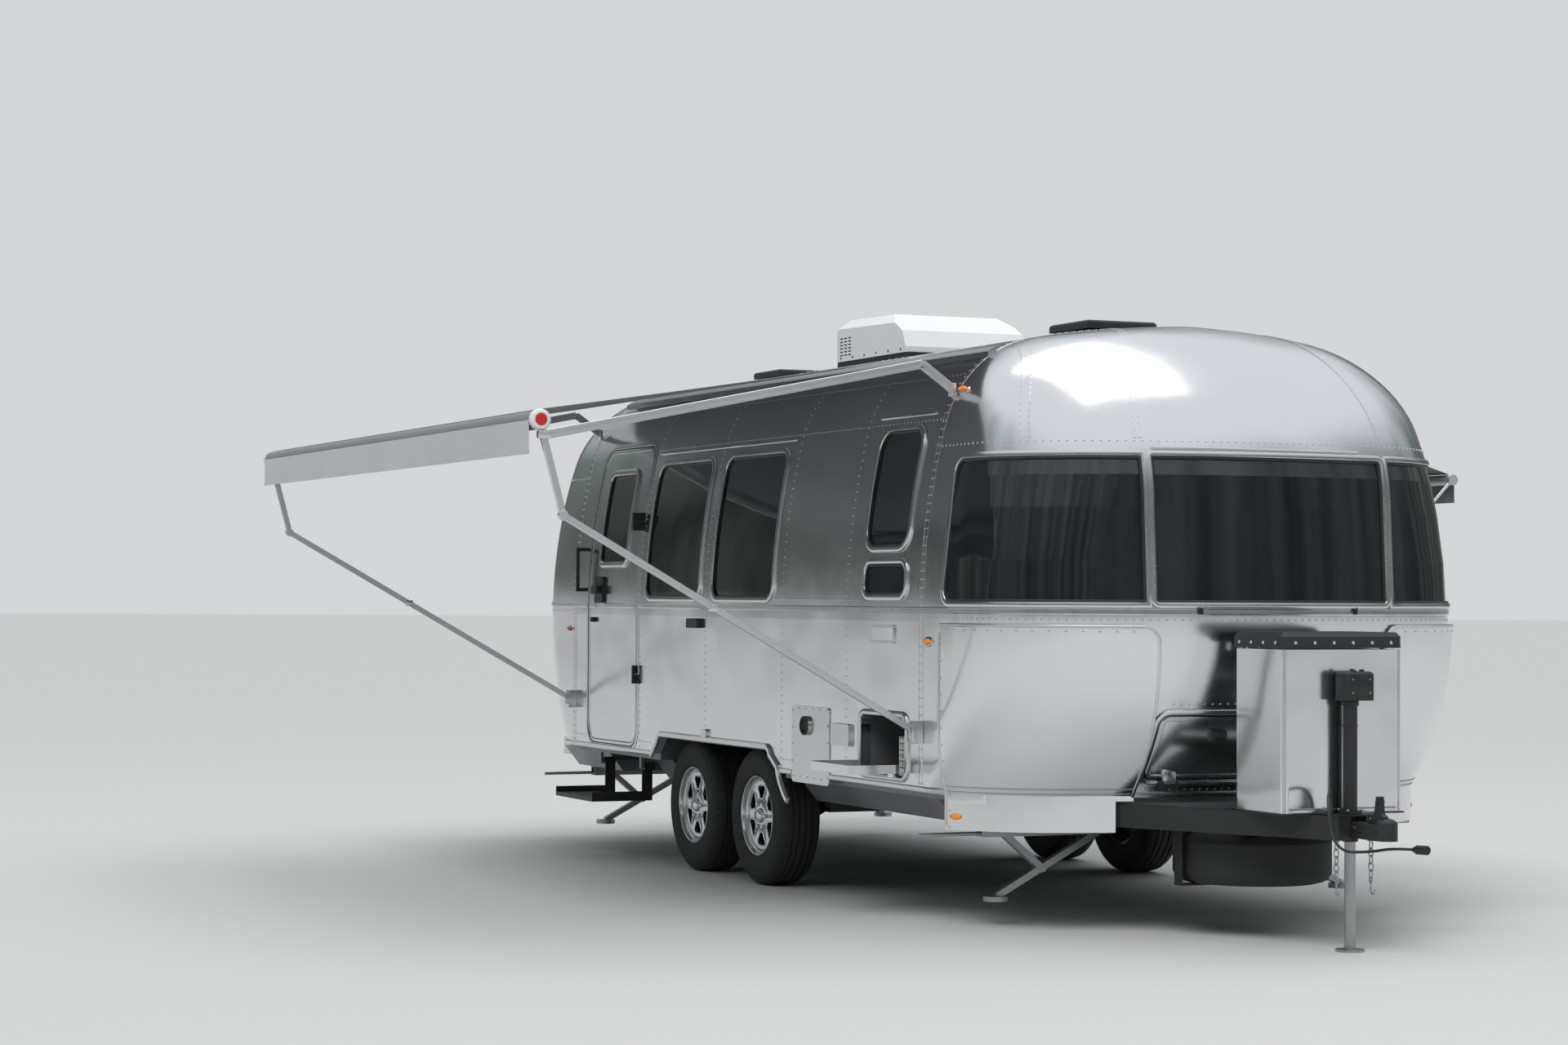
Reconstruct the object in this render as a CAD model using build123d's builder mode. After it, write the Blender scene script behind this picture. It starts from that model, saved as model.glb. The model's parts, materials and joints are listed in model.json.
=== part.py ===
from build123d import *
from collections import namedtuple
from math import asin, atan2, cos, hypot, pi, sin, sqrt
import os

# Riveted aluminium travel caravan on two axles, parked on its wheels and jack with the awning out.
# Millimetres. Origin: centre of the coupler's ball socket. +X is the way it is towed, +Y its left
# or street side, +Z up. Heights named below are above the ground, and up() turns them into Z.

os.makedirs("parts", exist_ok=True)

BALL_HEIGHT = 500.0

# Body shell
HALF_WIDTH = 1220.0
SKIRT = 600.0
BELT = 1400.0
ROOF_SEAM = 2480.0
CROWN = 2700.0
WALL_SPRING = 1350.0
WALL_RADIUS = 3640.0
SHOULDER_RADIUS = 550.0
ROOF_RADIUS = 3700.0
WALL = 48.0
FRONT_SEAM = -1822.0
REAR_SEAM = -6382.0

# End caps: reach past the seam at the belt, straight run of the side, and how far the foot tucks in
NOSE_RADIUS = 850.0
NOSE_LEAN = 25.0
PLAN_RATIO = 2.08
STRAIGHT_POWER = 4
POINTED_NOSE = 0.9
Cap = namedtuple("Cap", "seam way reach straight tuck")
FRONT = Cap(FRONT_SEAM, 1, 1037.0, 346.0, 330.0)
REAR = Cap(REAR_SEAM, -1, 900.0, 330.0, 290.0)
SEAM_LAP = 60.0
BAND_SLICES = (1620.0, 1850.0, 1990.0, 2110.0)
BROW_SLICES = (2250.0, 2380.0, 2470.0, 2540.0, 2590.0)
CROWN_SLICES = (0.5, 0.78, 0.93, 0.985)
LOWER_SLICES = (0.0, 0.125, 0.25, 0.375, 0.5, 0.625, 0.75, 0.875, 1.0)

# Clearances
MOVING_GAP = 6.0
SEAT_GAP = 0.3
REVEAL = 20.0

# Windows
FRAME_WIDTH = 24.0
FRAME_PROUD = 9.0
GLASS_INSET = 4.0
GLASS = 6.0
Window = namedtuple("Window", "side x0 x1 z0 z1 corner")
CURB, STREET = -1, 1
WINDOWS = (
    Window(CURB, -5240.0, -4470.0, 1450.0, 2170.0, 70.0),
    Window(CURB, -4285.0, -3500.0, 1450.0, 2175.0, 70.0),
    Window(CURB, -2432.0, -1990.0, 1688.0, 2225.0, 90.0),
    Window(CURB, -2420.0, -1990.0, 1468.0, 1612.0, 50.0),
    Window(STREET, -5240.0, -4470.0, 1450.0, 2170.0, 70.0),
    Window(STREET, -2960.0, -2060.0, 1450.0, 2170.0, 70.0),
)

# Front band of windows and the rear window: heights, and plan positions of mullions and ends
BAND_FOOT = 1440.0
BAND_HEAD = 2070.0
BAND_CORNER = 60.0
BAND_BACK = -1600.0
MULLION_Y = 602.0
MULLION_HALF = 20.0
TAIL_HALF = 460.0
TAIL_FOOT = 1470.0
TAIL_HEAD = 2060.0

# Entry door
DOOR_REAR = -6160.0
DOOR_FRONT = -5375.0
DOOR_FOOT = 622.0
DOOR_HEAD = 2290.0
DOOR_CORNER = 110.0
DOOR_WINDOW = Window(CURB, -5985.0, -5575.0, 1640.0, 2140.0, 45.0)

# Wheels and arches
WHEEL_FRONT = -3850.0
WHEEL_REAR = -4710.0
AXLE_HEIGHT = 350.0
TYRE_RADIUS = 350.0
TYRE_WIDTH = 225.0
TYRE_FACE = 1160.0
RIM_RADIUS = 203.0
HUB_RADIUS = 62.0
SPINDLE_RADIUS = 20.0
SPINDLE_PLAY = 0.05
ARCH_TOP = 700.0
ARCH_FRONT = -3430.0
ARCH_REAR = -5130.0
ARCH_RAKE = 110.0
ARCH_CORNER = 55.0
WELL_INNER = 885.0
WELL_TOP = 800.0
WELL_SHEET = 10.0

# Floor, belly pan and A-frame
FLOOR_TOP = 640.0
FLOOR_FOOT = 565.0
PAN_FOOT = 450.0
PAN_FRONT = -1900.0
PAN_REAR = -6880.0
PAN_HALF = 1100.0
PAN_TAPER = 90.0
PAN_WAIST = 880.0
RAIL_DEPTH = 100.0
RAIL_WIDTH = 55.0
RAIL_NOSE_X = -200.0
RAIL_NOSE_Y = 68.0
RAIL_SLOPE = 0.501

# Coupler and jack
SOCKET_RADIUS = 30.0
SOCKET_DEPTH = 24.0
JACK_X = -262.0
JACK_TUBE_RADIUS = 30.0
JACK_LEG_RADIUS = 23.0
JACK_TUBE_FOOT = 455.0
JACK_TUBE_TOP = 1040.0
JACK_HEAD_TOP = 1160.0
JACK_TOP_LAP = 215.0

# Gas cover
COVER_BACK = -700.0
COVER_FRONT = -317.0
COVER_HALF = 289.0
COVER_TOP = 1250.0
COVER_SHEET = 6.0
COVER_CORNER = 25.0
LID_TOP = 1322.0
LID_SKIRT = 1256.0
LID_LIP = 8.0
BOTTLE_RADIUS = 131.0
BOTTLE_TOP = 1080.0

# Front and curb hatches
HATCH_HALF = 515.0
HATCH_FOOT = 672.0
HATCH_HEAD = 958.0
HATCH_CORNER = 45.0
LOCKER = Window(CURB, -2450.0, -1970.0, 651.0, 915.0, 45.0)
LOCKER_LEAF = 40.0
TUB_DEPTH = 380.0
TUB_SHEET = 6.0

# Stone guards
GUARD_STAND = 9.0
GUARD_SHEET = 14.0
GUARD_HEAD = 1345.0
GUARD_FOOT = 442.0
GUARD_BACK = -1605.0
GUARD_INNER_HEAD = 575.0
GUARD_INNER_FOOT = 512.0
GUARD_CORNER = 85.0

# Awning
AWNING_FRONT = -1800.0
AWNING_REAR = -6400.0
ROLLER_Y = -3020.0
ROLLER_HEIGHT = 2205.0
ROLLER_RADIUS = 42.0
END_CAP_RADIUS = 46.0
END_CAP_WIDTH = 34.0
AWNING_RAIL_Y = -880.0
CANOPY = 5.0
VALANCE_DROP = 105.0
ARM_RADIUS = 15.0
ARM_BEND = (-2915.0, 1800.0)
ARM_FOOT = (-1262.0, 868.0)

# Mouldings and the furnace vent's ends
RAIL_PROUD = 7.0
BELT_WIDTH = 22.0
BOTTOM_WIDTH = 26.0
VENT_REAR = -3240.0
VENT_FRONT = -2800.0

# Entry step
STEP_POCKET_X = (-6140.0, -5420.0)
STEP_POCKET_Y = (-1150.0, -760.0)
STEP_SLIDES = (-6100.0, -5460.0)
STEP_SLIDE_HEIGHT = 515.0
STEP_SLIDE_END = -1150.0
STEP_SLIDE_RADIUS = 10.0
STEP_SLEEVE = 60.0
STEP_TREAD = 230.0
STEP_HEIGHT = 345.0

# A-frame fittings, spare wheel and gas tray
CROSS_X = -735.0
SPARE_X = -1020.0
SPARE_TOP = 452.0
SPARE_RADIUS = 345.0
LID_BEVEL = 18.0
JACK_PLATE = 6.0
JACK_PLATE_LENGTH = 150.0
JACK_PLATE_WIDTH = 230.0
TRAY_SHEET = 6.0

# Coupler and jack details
COUPLER_BACK = -215.0
COUPLER_HALF = 36.3
COUPLER_ROOF = 42.0
COUPLER_LATCH = 26.0
JACK_HEAD_SHIFT = 22.0
JACK_HEAD_LENGTH = 96.0
JACK_HEAD_WIDTH = 153.0
JACK_FOOT_SHEET = 10.0
JACK_FOOT_RADIUS = 60.0

# Lid hinges
LID_AXIS_X = -722.0
LID_AXIS_Z = 1264.0
LID_HINGES = (-180.0, 180.0)
LID_BARREL = 50.0
PIN_RADIUS = 3.0
BOTTLE_SHOULDER = 960.0

# Tyre section from bead to tread: inset from the sidewall, share of the rise from rim to tread
TYRE_SECTION = ((16.0, 0.0), (4.0, 0.16), (0.0, 0.38), (0.0, 0.60), (7.0, 0.78), (20.0, 0.91), (44.0, 1.0))

# Rim: its setting in the tyre, sheet, spoked disc, hub face and the axle's trailing arm
RIM_SET = 12.0
RIM_SHEET = 12.0
DISC_INNER = 1105.0
DISC_OUTER = 1119.0
SPOKES = 6
SPOKE_WINDOW = ((84.0, 12.0), (162.0, 62.0))
SPOKE_CORNER = 10.0
HUB_FACE = 1140.0
SPINDLE_END = 1134.0
ARM_TRAIL = 190.0

# Spare wheel strap and bolt
SPARE_BOLT = 14.0
STRAP_HALF = 375.0

# Front hatch hinge and latch
HATCH_AXIS_X = -1045.0
HATCH_AXIS_Z = 660.0
HATCH_WEB_X = -1068.0
HATCH_WEB_RISE = 50.0
HATCH_EAR_X = -1125.0
HATCH_HINGE_Y = 400.0
HATCH_BARREL = 60.0
HATCH_LATCH_X = -905.0
HATCH_LATCH_Y = -234.0
HATCH_LATCH_HEIGHT = 867.0

# Locker door hinge, and the unit behind it
LOCKER_AXIS_Y = -1236.0
LOCKER_AXIS_Z = 650.0
LOCKER_SET = 15.0
LOCKER_RISE = 7.0
LOCKER_LENGTH = 250.0
LOCKER_HINGES = (-2370.0, -2050.0)
UNIT_X = (-2190.0, -1990.0)
UNIT_FACE = -1150.0
UNIT_DEPTH = 300.0
UNIT_RISE = 175.0
UNIT_SLOTS = 8

# Furnace vent
VENT_FOOT = 560.0
VENT_HEAD = 930.0
VENT_PLATE = 6.0
OUTLET_X = -3062.0
OUTLET_HEIGHT = 837.0
OUTLET_RADIUS = 46.0

# Door leaf, hinges and handle
DOOR_SWING_GAP = 9.0
DOOR_SKIN = 14.0
DOOR_REBATE = 18.0
DOOR_AXIS_X = -5377.0
DOOR_AXIS_Y = -1242.0
HINGE_HEIGHTS = (1024.0, 1865.0)
HINGE_PIN = 4.0
KNUCKLE_RADIUS = 9.0
KNUCKLE_WEB = 7.0
KNUCKLE_LENGTH = 50.0
LEAF = 3.0
HANDLE_X = (-6030.0, -5900.0)
HANDLE_Z = (1415.0, 1565.0)
DOOR_BUMPER_X = -6060.0
DOOR_BUMPER_Z = 1320.0

# Plates on the curb wall: ends, heights, proud; and the grab handle
WALL_PLATES = (
    (-4590.0, -4440.0, 1290.0, 1340.0, 26.0),
    (-2760.0, -2560.0, 760.0, 860.0, 14.0),
    (-2340.0, -2094.0, 1250.0, 1330.0, 5.0),
    (-4400.0, -4334.0, 724.0, 764.0, 12.0),
)
GRAB_X = -6215.0
GRAB_Z = (1490.0, 1720.0)
GRAB_REACH = 66.0
GRAB_RADIUS = 11.0

# Marker lamps
LAMP_FRONT_X = -1750.0
LAMP_REAR_X = -6450.0
LAMP_TOP = 2386.0
LAMP_SIDE = 1262.0

# Roof unit with its louvres, and vents
UNIT_REAR = -4650.0
UNIT_FRONT = -3800.0
UNIT_HALF = 350.0
UNIT_TOP = 2950.0
UNIT_FACET = 50.0
LOUVRE_GRID = (3, 6)
LOUVRE_PITCH = (52.0, 18.0)
LOUVRE_SLOT = (42.0, 8.0)
LOUVRE_DEPTH = 10.0
LOUVRE_CENTRE = (-4545.0, 2802.0)
BASE_FOOT = 2640.0
BASE_TOP = 2724.0
VENT_CENTRES = (-2360.0, -6000.0)
VENT_HALF = 180.0
LID_RISE = 40.0

# Awning rail and rafters
AWNING_RAIL_RISE = 22.0
AWNING_RAIL_WIDTH = 44.0
RAFTER_RADIUS = 12.0
RAFTER_TOP = (-1225.0, 2500.0)
RAFTER_FOOT = (-1068.0, 2390.0)

# Window awning
SMALL_AWNING_X = (-3120.0, -1900.0)
SMALL_AWNING_TOP = 2228.0
SMALL_ROLLER = (1690.0, 2040.0)
SMALL_ROLLER_RADIUS = 26.0
SMALL_ARM_FOOT = (1252.0, 1600.0)

# Stabilisers, bumper and chains
STABILISER_FRONT = -1700.0
STABILISER_REAR = -6700.0
STABILISER_Y = (350.0, 990.0)
STABILISER_SCREW = 1290.0
LEG_PIVOT = (381.0, 410.0)
LEG_PIN = (678.0, 247.0)
LEG_FOOT = (908.0, 130.0)
STRUT_NUT = (872.0, 410.0)
BUMPER_X = (-7200.0, -7090.0)
BUMPER_Z = (500.0, 600.0)
BUMPER_HALF = 1000.0
CHAIN_X = -235.0
CHAIN_Y = 85.0
CHAIN_TOP = 462.0
CHAIN_LINKS = 5
CHAIN_PITCH = 30.0
CHAIN_WIDTH = 26.0
CHAIN_LENGTH = 42.0
CHAIN_WIRE = 6.0

# Tow cable: route, bend, and plug
CABLE_RADIUS = 6.0
CABLE_BEND = 50.0
CABLE_POINTS = (
    (-250.0, -100.0, 571.0),
    (-250.0, -100.0, 690.0),
    (-110.0, -215.0, 640.0),
    (-90.0, -190.0, 430.0),
    (-80.0, -20.0, 425.0),
    (-62.0, 70.0, 440.0),
    (80.0, 78.0, 445.0),
)
PLUG_RADIUS = 19.0
PLUG_LENGTH = 62.0


def up(height):
    """Z of a height above the ground."""
    return height - BALL_HEIGHT


def cross_centres():
    """Centres of the wall arc, the shoulder arc and the roof arc, as (y, height)."""
    wall = (HALF_WIDTH - WALL_RADIUS, WALL_SPRING)
    roof = (0.0, CROWN - ROOF_RADIUS)
    wall_gap = WALL_RADIUS - SHOULDER_RADIUS
    roof_gap = ROOF_RADIUS - SHOULDER_RADIUS
    span = hypot(roof[0] - wall[0], roof[1] - wall[1])
    along = (wall_gap**2 - roof_gap**2 + span**2) / (2 * span)
    across = sqrt(wall_gap**2 - along**2)
    step = ((roof[0] - wall[0]) / span, (roof[1] - wall[1]) / span)
    shoulder = (
        wall[0] + along * step[0] - across * step[1],
        wall[1] + along * step[1] + across * step[0],
    )
    return wall, shoulder, roof


WALL_CENTRE, SHOULDER_CENTRE, ROOF_CENTRE = cross_centres()
LEAN = asin((SHOULDER_CENTRE[1] - WALL_SPRING) / (WALL_RADIUS - SHOULDER_RADIUS))
RISE = atan2(SHOULDER_CENTRE[1] - ROOF_CENTRE[1], SHOULDER_CENTRE[0])


def half_width(height, inset=0.0):
    """Half width of the body at a height, on a surface inset from the skin."""
    if height <= WALL_SPRING:
        return HALF_WIDTH - inset
    if height <= WALL_SPRING + (WALL_RADIUS - inset) * sin(LEAN):
        centre, radius = WALL_CENTRE, WALL_RADIUS - inset
    elif height <= ROOF_CENTRE[1] + (ROOF_RADIUS - inset) * sin(RISE):
        centre, radius = SHOULDER_CENTRE, SHOULDER_RADIUS - inset
    else:
        centre, radius = ROOF_CENTRE, ROOF_RADIUS - inset
    return centre[0] + sqrt(max(0.0, radius**2 - (height - centre[1]) ** 2))


def draw_section(inset, foot, mode=Mode.ADD):
    """Body cross-section in a YZ sketch: straight foot, wall, shoulder and roof arcs."""

    def at(centre, radius, angle):
        return centre[0] + radius * cos(angle), up(centre[1] + radius * sin(angle))

    wall, shoulder = WALL_RADIUS - inset, SHOULDER_RADIUS - inset
    spring = (HALF_WIDTH - inset, up(WALL_SPRING))
    wall_mid = at(WALL_CENTRE, wall, LEAN / 2)
    wall_end = at(WALL_CENTRE, wall, LEAN)
    shoulder_mid = at(SHOULDER_CENTRE, shoulder, (LEAN + RISE) / 2)
    shoulder_end = at(SHOULDER_CENTRE, shoulder, RISE)
    with BuildLine() as outline:
        Line((inset - HALF_WIDTH, up(foot)), (HALF_WIDTH - inset, up(foot)))
        for side in (STREET, CURB):
            points = [(side * y, z) for y, z in (spring, wall_mid, wall_end, shoulder_mid, shoulder_end)]
            Line((side * (HALF_WIDTH - inset), up(foot)), points[0])
            ThreePointArc(points[0], points[1], points[2])
            ThreePointArc(points[2], points[3], points[4])
        ThreePointArc(shoulder_end, (0, up(CROWN - inset)), (-shoulder_end[0], shoulder_end[1]))
    make_face(outline.edges(), mode=mode)


def tuck(cap, height):
    """How far a cap's foot draws in below the belt, along one arc."""
    drop = BELT - SKIRT
    radius = (drop**2 + cap.tuck**2) / (2 * cap.tuck)
    return radius - sqrt(radius**2 - max(0.0, BELT - height) ** 2)


def cap_reach(cap, height, inset=0.0):
    """Distance from the seam to the middle of the nose or tail."""
    spring = CROWN - NOSE_RADIUS
    if height < BELT:
        return cap.reach - inset - tuck(cap, height)
    if height < spring:
        return cap.reach - inset - NOSE_LEAN * (height - BELT) / (spring - BELT)
    arc = sqrt(max(0.0, (NOSE_RADIUS - inset) ** 2 - (height - spring) ** 2))
    return cap.reach - NOSE_LEAN - NOSE_RADIUS + arc


def plan_arcs(cap, height, inset=0.0):
    """Reach, straight run, half width, corner radius and nose radius of a horizontal slice."""
    half = half_width(height, inset)
    skin_half = half + inset
    reach = cap_reach(cap, height, inset)
    straight = cap.straight * (skin_half / HALF_WIDTH) ** STRAIGHT_POWER - tuck(cap, height)
    run = reach - straight
    nose = PLAN_RATIO * skin_half - inset if run <= half else POINTED_NOSE * half**2 / run
    corner = (2 * run * nose - run**2 - half**2) / (2 * (nose - half))
    return reach, straight, half, corner, nose


def draw_plan(cap, height, inset=0.0, mode=Mode.ADD):
    """Horizontal slice of an end cap in an XY sketch, lapped back over the seam."""
    reach, straight, half, corner, nose = plan_arcs(cap, height, inset)
    way = 1 if nose > corner else -1
    turn = atan2(way * (half - corner), way * (straight - (reach - nose)))
    mid = (turn + pi / 2) / 2

    def at(along, y):
        return cap.seam + cap.way * along, y

    joint = (reach - nose + nose * cos(turn), nose * sin(turn))
    bend = (straight + corner * cos(mid), half - corner + corner * sin(mid))
    with BuildLine() as outline:
        Line(at(-SEAM_LAP, half), at(-SEAM_LAP, -half))
        for side in (STREET, CURB):
            Line(at(-SEAM_LAP, side * half), at(straight, side * half))
            ThreePointArc(
                at(straight, side * half),
                at(bend[0], side * bend[1]),
                at(joint[0], side * joint[1]),
            )
        ThreePointArc(at(joint[0], joint[1]), at(reach, 0), at(joint[0], -joint[1]))
    make_face(outline.edges(), mode=mode)


def upper_heights(inset):
    """Slice heights from the belt to just under the crown of a surface inset from the skin."""
    brow = BROW_SLICES[-1]
    crown = [brow + (CROWN - inset - brow) * share for share in CROWN_SLICES]
    return [BELT, *BAND_SLICES, *BROW_SLICES, *crown]


def lower_heights():
    """Slice heights from the skirt up to the belt."""
    return [SKIRT + (BELT - SKIRT) * share for share in LOWER_SLICES]


def cap_block(cap, heights, inset):
    """Solid end cap under one surface, lapped back over the seam."""
    with BuildPart() as block:
        for height in heights:
            with BuildSketch(Plane.XY.offset(up(height))):
                draw_plan(cap, height, inset)
        loft(ruled=True)
    return block.part


def cap_shell(cap, outer_heights, inner_heights, outer, inner):
    """Shell of an end cap between two insets from the skin, cut square at the seam."""
    outside = cap_block(cap, outer_heights, outer)
    inside = cap_block(cap, inner_heights, inner)
    with BuildPart() as shell:
        add(outside)
        add(inside, mode=Mode.SUBTRACT)
        with BuildSketch(Plane.YZ.offset(cap.seam)):
            with Locations((0, up(CROWN / 2))):
                Rectangle(3 * HALF_WIDTH, 2 * CROWN)
        extrude(amount=-cap.way * 2 * SEAM_LAP, mode=Mode.SUBTRACT)
    return shell.part


def side_prism(side, x0, x1, z0, z1, corner, mode, deep=HALF_WIDTH):
    """Rounded rectangular prism driven in from one side, for cutting or trimming a wall."""
    with BuildSketch(Plane.XZ.offset(-side * (HALF_WIDTH + 200.0))) as outline:
        with Locations(((x0 + x1) / 2, up((z0 + z1) / 2))):
            RectangleRounded(x1 - x0, z1 - z0, corner)
    extrude(outline.sketch, amount=side * deep, mode=mode)


def wall_patch(window, grow, outer, inner):
    """Piece of the wall between two insets, with a window's outline grown by a margin."""
    with BuildPart() as patch:
        with BuildSketch(Plane.YZ.offset(window.x0 - grow)):
            draw_section(outer, SKIRT)
            draw_section(inner, SKIRT - REVEAL, mode=Mode.SUBTRACT)
            with Locations((window.side * HALF_WIDTH, up(BELT))):
                Rectangle(HALF_WIDTH, 2 * CROWN, mode=Mode.INTERSECT)
        extrude(amount=window.x1 - window.x0 + 2 * grow)
        side_prism(
            window.side,
            window.x0 - grow,
            window.x1 + grow,
            window.z0 - grow,
            window.z1 + grow,
            window.corner + grow,
            Mode.INTERSECT,
        )
    return patch.part


def window_ring(window):
    """Frame round a side window, standing proud of the skin."""
    with BuildPart() as ring:
        add(wall_patch(window, FRAME_WIDTH, -FRAME_PROUD, -SEAT_GAP))
        side_prism(window.side, window.x0, window.x1, window.z0, window.z1, window.corner, Mode.SUBTRACT)
    return ring.part


def save(node, name):
    """Label a finished piece and write it out."""
    node.part.label = name
    export_step(node.part, f"parts/{name}.step")


def cut_windows(side):
    """Cut a wall's window openings."""
    for window in WINDOWS:
        if window.side == side:
            side_prism(window.side, window.x0, window.x1, window.z0, window.z1, window.corner, Mode.SUBTRACT)


def cut_arch(side):
    """Cut the long opening over both wheels on one side, raked at both ends."""
    with BuildSketch(Plane.XZ.offset(-side * (HALF_WIDTH + 200.0))) as outline:
        with BuildLine():
            FilletPolyline(
                (ARCH_REAR, up(SKIRT - REVEAL)),
                (ARCH_REAR, up(SKIRT)),
                (ARCH_REAR + ARCH_RAKE, up(ARCH_TOP)),
                (ARCH_FRONT - ARCH_RAKE, up(ARCH_TOP)),
                (ARCH_FRONT, up(SKIRT)),
                (ARCH_FRONT, up(SKIRT - REVEAL)),
                radius=[1.0, ARCH_CORNER, ARCH_CORNER, 1.0],
            )
            Line((ARCH_FRONT, up(SKIRT - REVEAL)), (ARCH_REAR, up(SKIRT - REVEAL)))
        make_face()
    extrude(outline.sketch, amount=side * HALF_WIDTH, mode=Mode.SUBTRACT)


def wall(side):
    """One long wall between the end seams, from the skirt to the roof seam."""
    with BuildSketch(Plane.YZ.offset(REAR_SEAM)) as profile:
        draw_section(0.0, SKIRT)
        draw_section(WALL, SKIRT - REVEAL, mode=Mode.SUBTRACT)
        with Locations((side * HALF_WIDTH, up((SKIRT + ROOF_SEAM) / 2))):
            Rectangle(HALF_WIDTH, ROOF_SEAM - SKIRT, mode=Mode.INTERSECT)
    extrude(profile.sketch, amount=FRONT_SEAM - REAR_SEAM)
    cut_windows(side)
    cut_arch(side)


def block(x, y, z, mode=Mode.ADD):
    """Box over three ranges, its heights above the ground."""
    with BuildSketch(Plane.XY.offset(up(z[0]))) as footprint:
        with Locations(((x[0] + x[1]) / 2, (y[0] + y[1]) / 2)):
            Rectangle(x[1] - x[0], y[1] - y[0])
    extrude(footprint.sketch, amount=z[1] - z[0], mode=mode)


def rod(start, end, radius, mode=Mode.ADD):
    """Round bar between two points, their heights above the ground."""
    foot = Vector(start[0], start[1], up(start[2]))
    head = Vector(end[0], end[1], up(end[2]))
    with BuildSketch(Plane(origin=foot, z_dir=head - foot)) as circle:
        Circle(radius)
    extrude(circle.sketch, amount=(head - foot).length, mode=mode)


def nose_prism(cap, y0, y1, z0, z1, corner, mode=Mode.ADD):
    """Rounded rectangular prism driven in from the nose or tail to the seam."""
    with BuildSketch(Plane.YZ.offset(cap.seam + cap.way * (cap.reach + 100.0))) as outline:
        with Locations(((y0 + y1) / 2, up((z0 + z1) / 2))):
            RectangleRounded(y1 - y0, z1 - z0, corner)
    extrude(outline.sketch, amount=-cap.way * (cap.reach + 100.0), mode=mode)


def band_prisms(grow):
    """The three front window openings as prisms, grown by a margin."""
    with BuildPart() as prisms:
        half = MULLION_Y - MULLION_HALF + grow
        nose_prism(FRONT, -half, half, BAND_FOOT - grow, BAND_HEAD + grow, BAND_CORNER / 4 + grow)
        for side in (CURB, STREET):
            with BuildSketch(Plane.XZ.offset(-side * (MULLION_Y + MULLION_HALF - grow))) as outline:
                with Locations(((BAND_BACK - grow) / 2, up((BAND_FOOT + BAND_HEAD) / 2))):
                    RectangleRounded(grow - BAND_BACK, BAND_HEAD - BAND_FOOT + 2 * grow, BAND_CORNER + grow)
            extrude(outline.sketch, amount=-side * HALF_WIDTH)
    return prisms.part


def tail_prism(grow):
    """The rear window opening as a prism, grown by a margin."""
    with BuildPart() as prism:
        nose_prism(
            REAR,
            -TAIL_HALF - grow,
            TAIL_HALF + grow,
            TAIL_FOOT - grow,
            TAIL_HEAD + grow,
            BAND_CORNER + grow,
        )
    return prism.part


def band_shell(cap, outer, inner):
    """Shell of a cap over the heights of its windows."""
    heights = [BELT, *BAND_SLICES]
    return cap_shell(cap, heights, heights, outer, inner)


# Curb wall, with the door and locker openings
with BuildPart() as wall_curb:
    wall(CURB)
    side_prism(CURB, DOOR_REAR, DOOR_FRONT, DOOR_FOOT, DOOR_HEAD, DOOR_CORNER, Mode.SUBTRACT)
    side_prism(CURB, LOCKER.x0, LOCKER.x1, LOCKER.z0, LOCKER.z1, LOCKER.corner, Mode.SUBTRACT)
save(wall_curb, "wall_curb")

# Street wall
with BuildPart() as wall_street:
    wall(STREET)
save(wall_street, "wall_street")

# Roof between the roof seams
with BuildPart() as roof:
    with BuildSketch(Plane.YZ.offset(REAR_SEAM)):
        draw_section(0.0, SKIRT)
        draw_section(WALL, SKIRT - REVEAL, mode=Mode.SUBTRACT)
        with Locations((0, up(ROOF_SEAM + CROWN / 2))):
            Rectangle(3 * HALF_WIDTH, CROWN, mode=Mode.INTERSECT)
    extrude(amount=FRONT_SEAM - REAR_SEAM)
save(roof, "roof")

# Front cap below the belt, with the hatch opening
front_lower = cap_shell(FRONT, lower_heights(), lower_heights(), 0.0, WALL)
with BuildPart() as hatch_outline:
    nose_prism(
        FRONT,
        MOVING_GAP - HATCH_HALF,
        HATCH_HALF - MOVING_GAP,
        HATCH_FOOT + MOVING_GAP,
        HATCH_HEAD - MOVING_GAP,
        HATCH_CORNER - MOVING_GAP,
    )
with BuildPart() as cap_front_lower:
    add(front_lower)
    nose_prism(FRONT, -HATCH_HALF, HATCH_HALF, HATCH_FOOT, HATCH_HEAD, HATCH_CORNER, Mode.SUBTRACT)
save(cap_front_lower, "cap_front_lower")

# Front cap above the belt, with its three windows
front_upper = cap_shell(FRONT, upper_heights(0.0), upper_heights(WALL), 0.0, WALL)
front_openings = band_prisms(0.0)
with BuildPart() as cap_front_upper:
    add(front_upper)
    add(front_openings, mode=Mode.SUBTRACT)
save(cap_front_upper, "cap_front_upper")

# Rear cap below and above the belt
rear_lower = cap_shell(REAR, lower_heights(), lower_heights(), 0.0, WALL)
with BuildPart() as cap_rear_lower:
    add(rear_lower)
save(cap_rear_lower, "cap_rear_lower")

rear_upper = cap_shell(REAR, upper_heights(0.0), upper_heights(WALL), 0.0, WALL)
rear_opening = tail_prism(0.0)
with BuildPart() as cap_rear_upper:
    add(rear_upper)
    add(rear_opening, mode=Mode.SUBTRACT)
save(cap_rear_upper, "cap_rear_upper")

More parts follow.
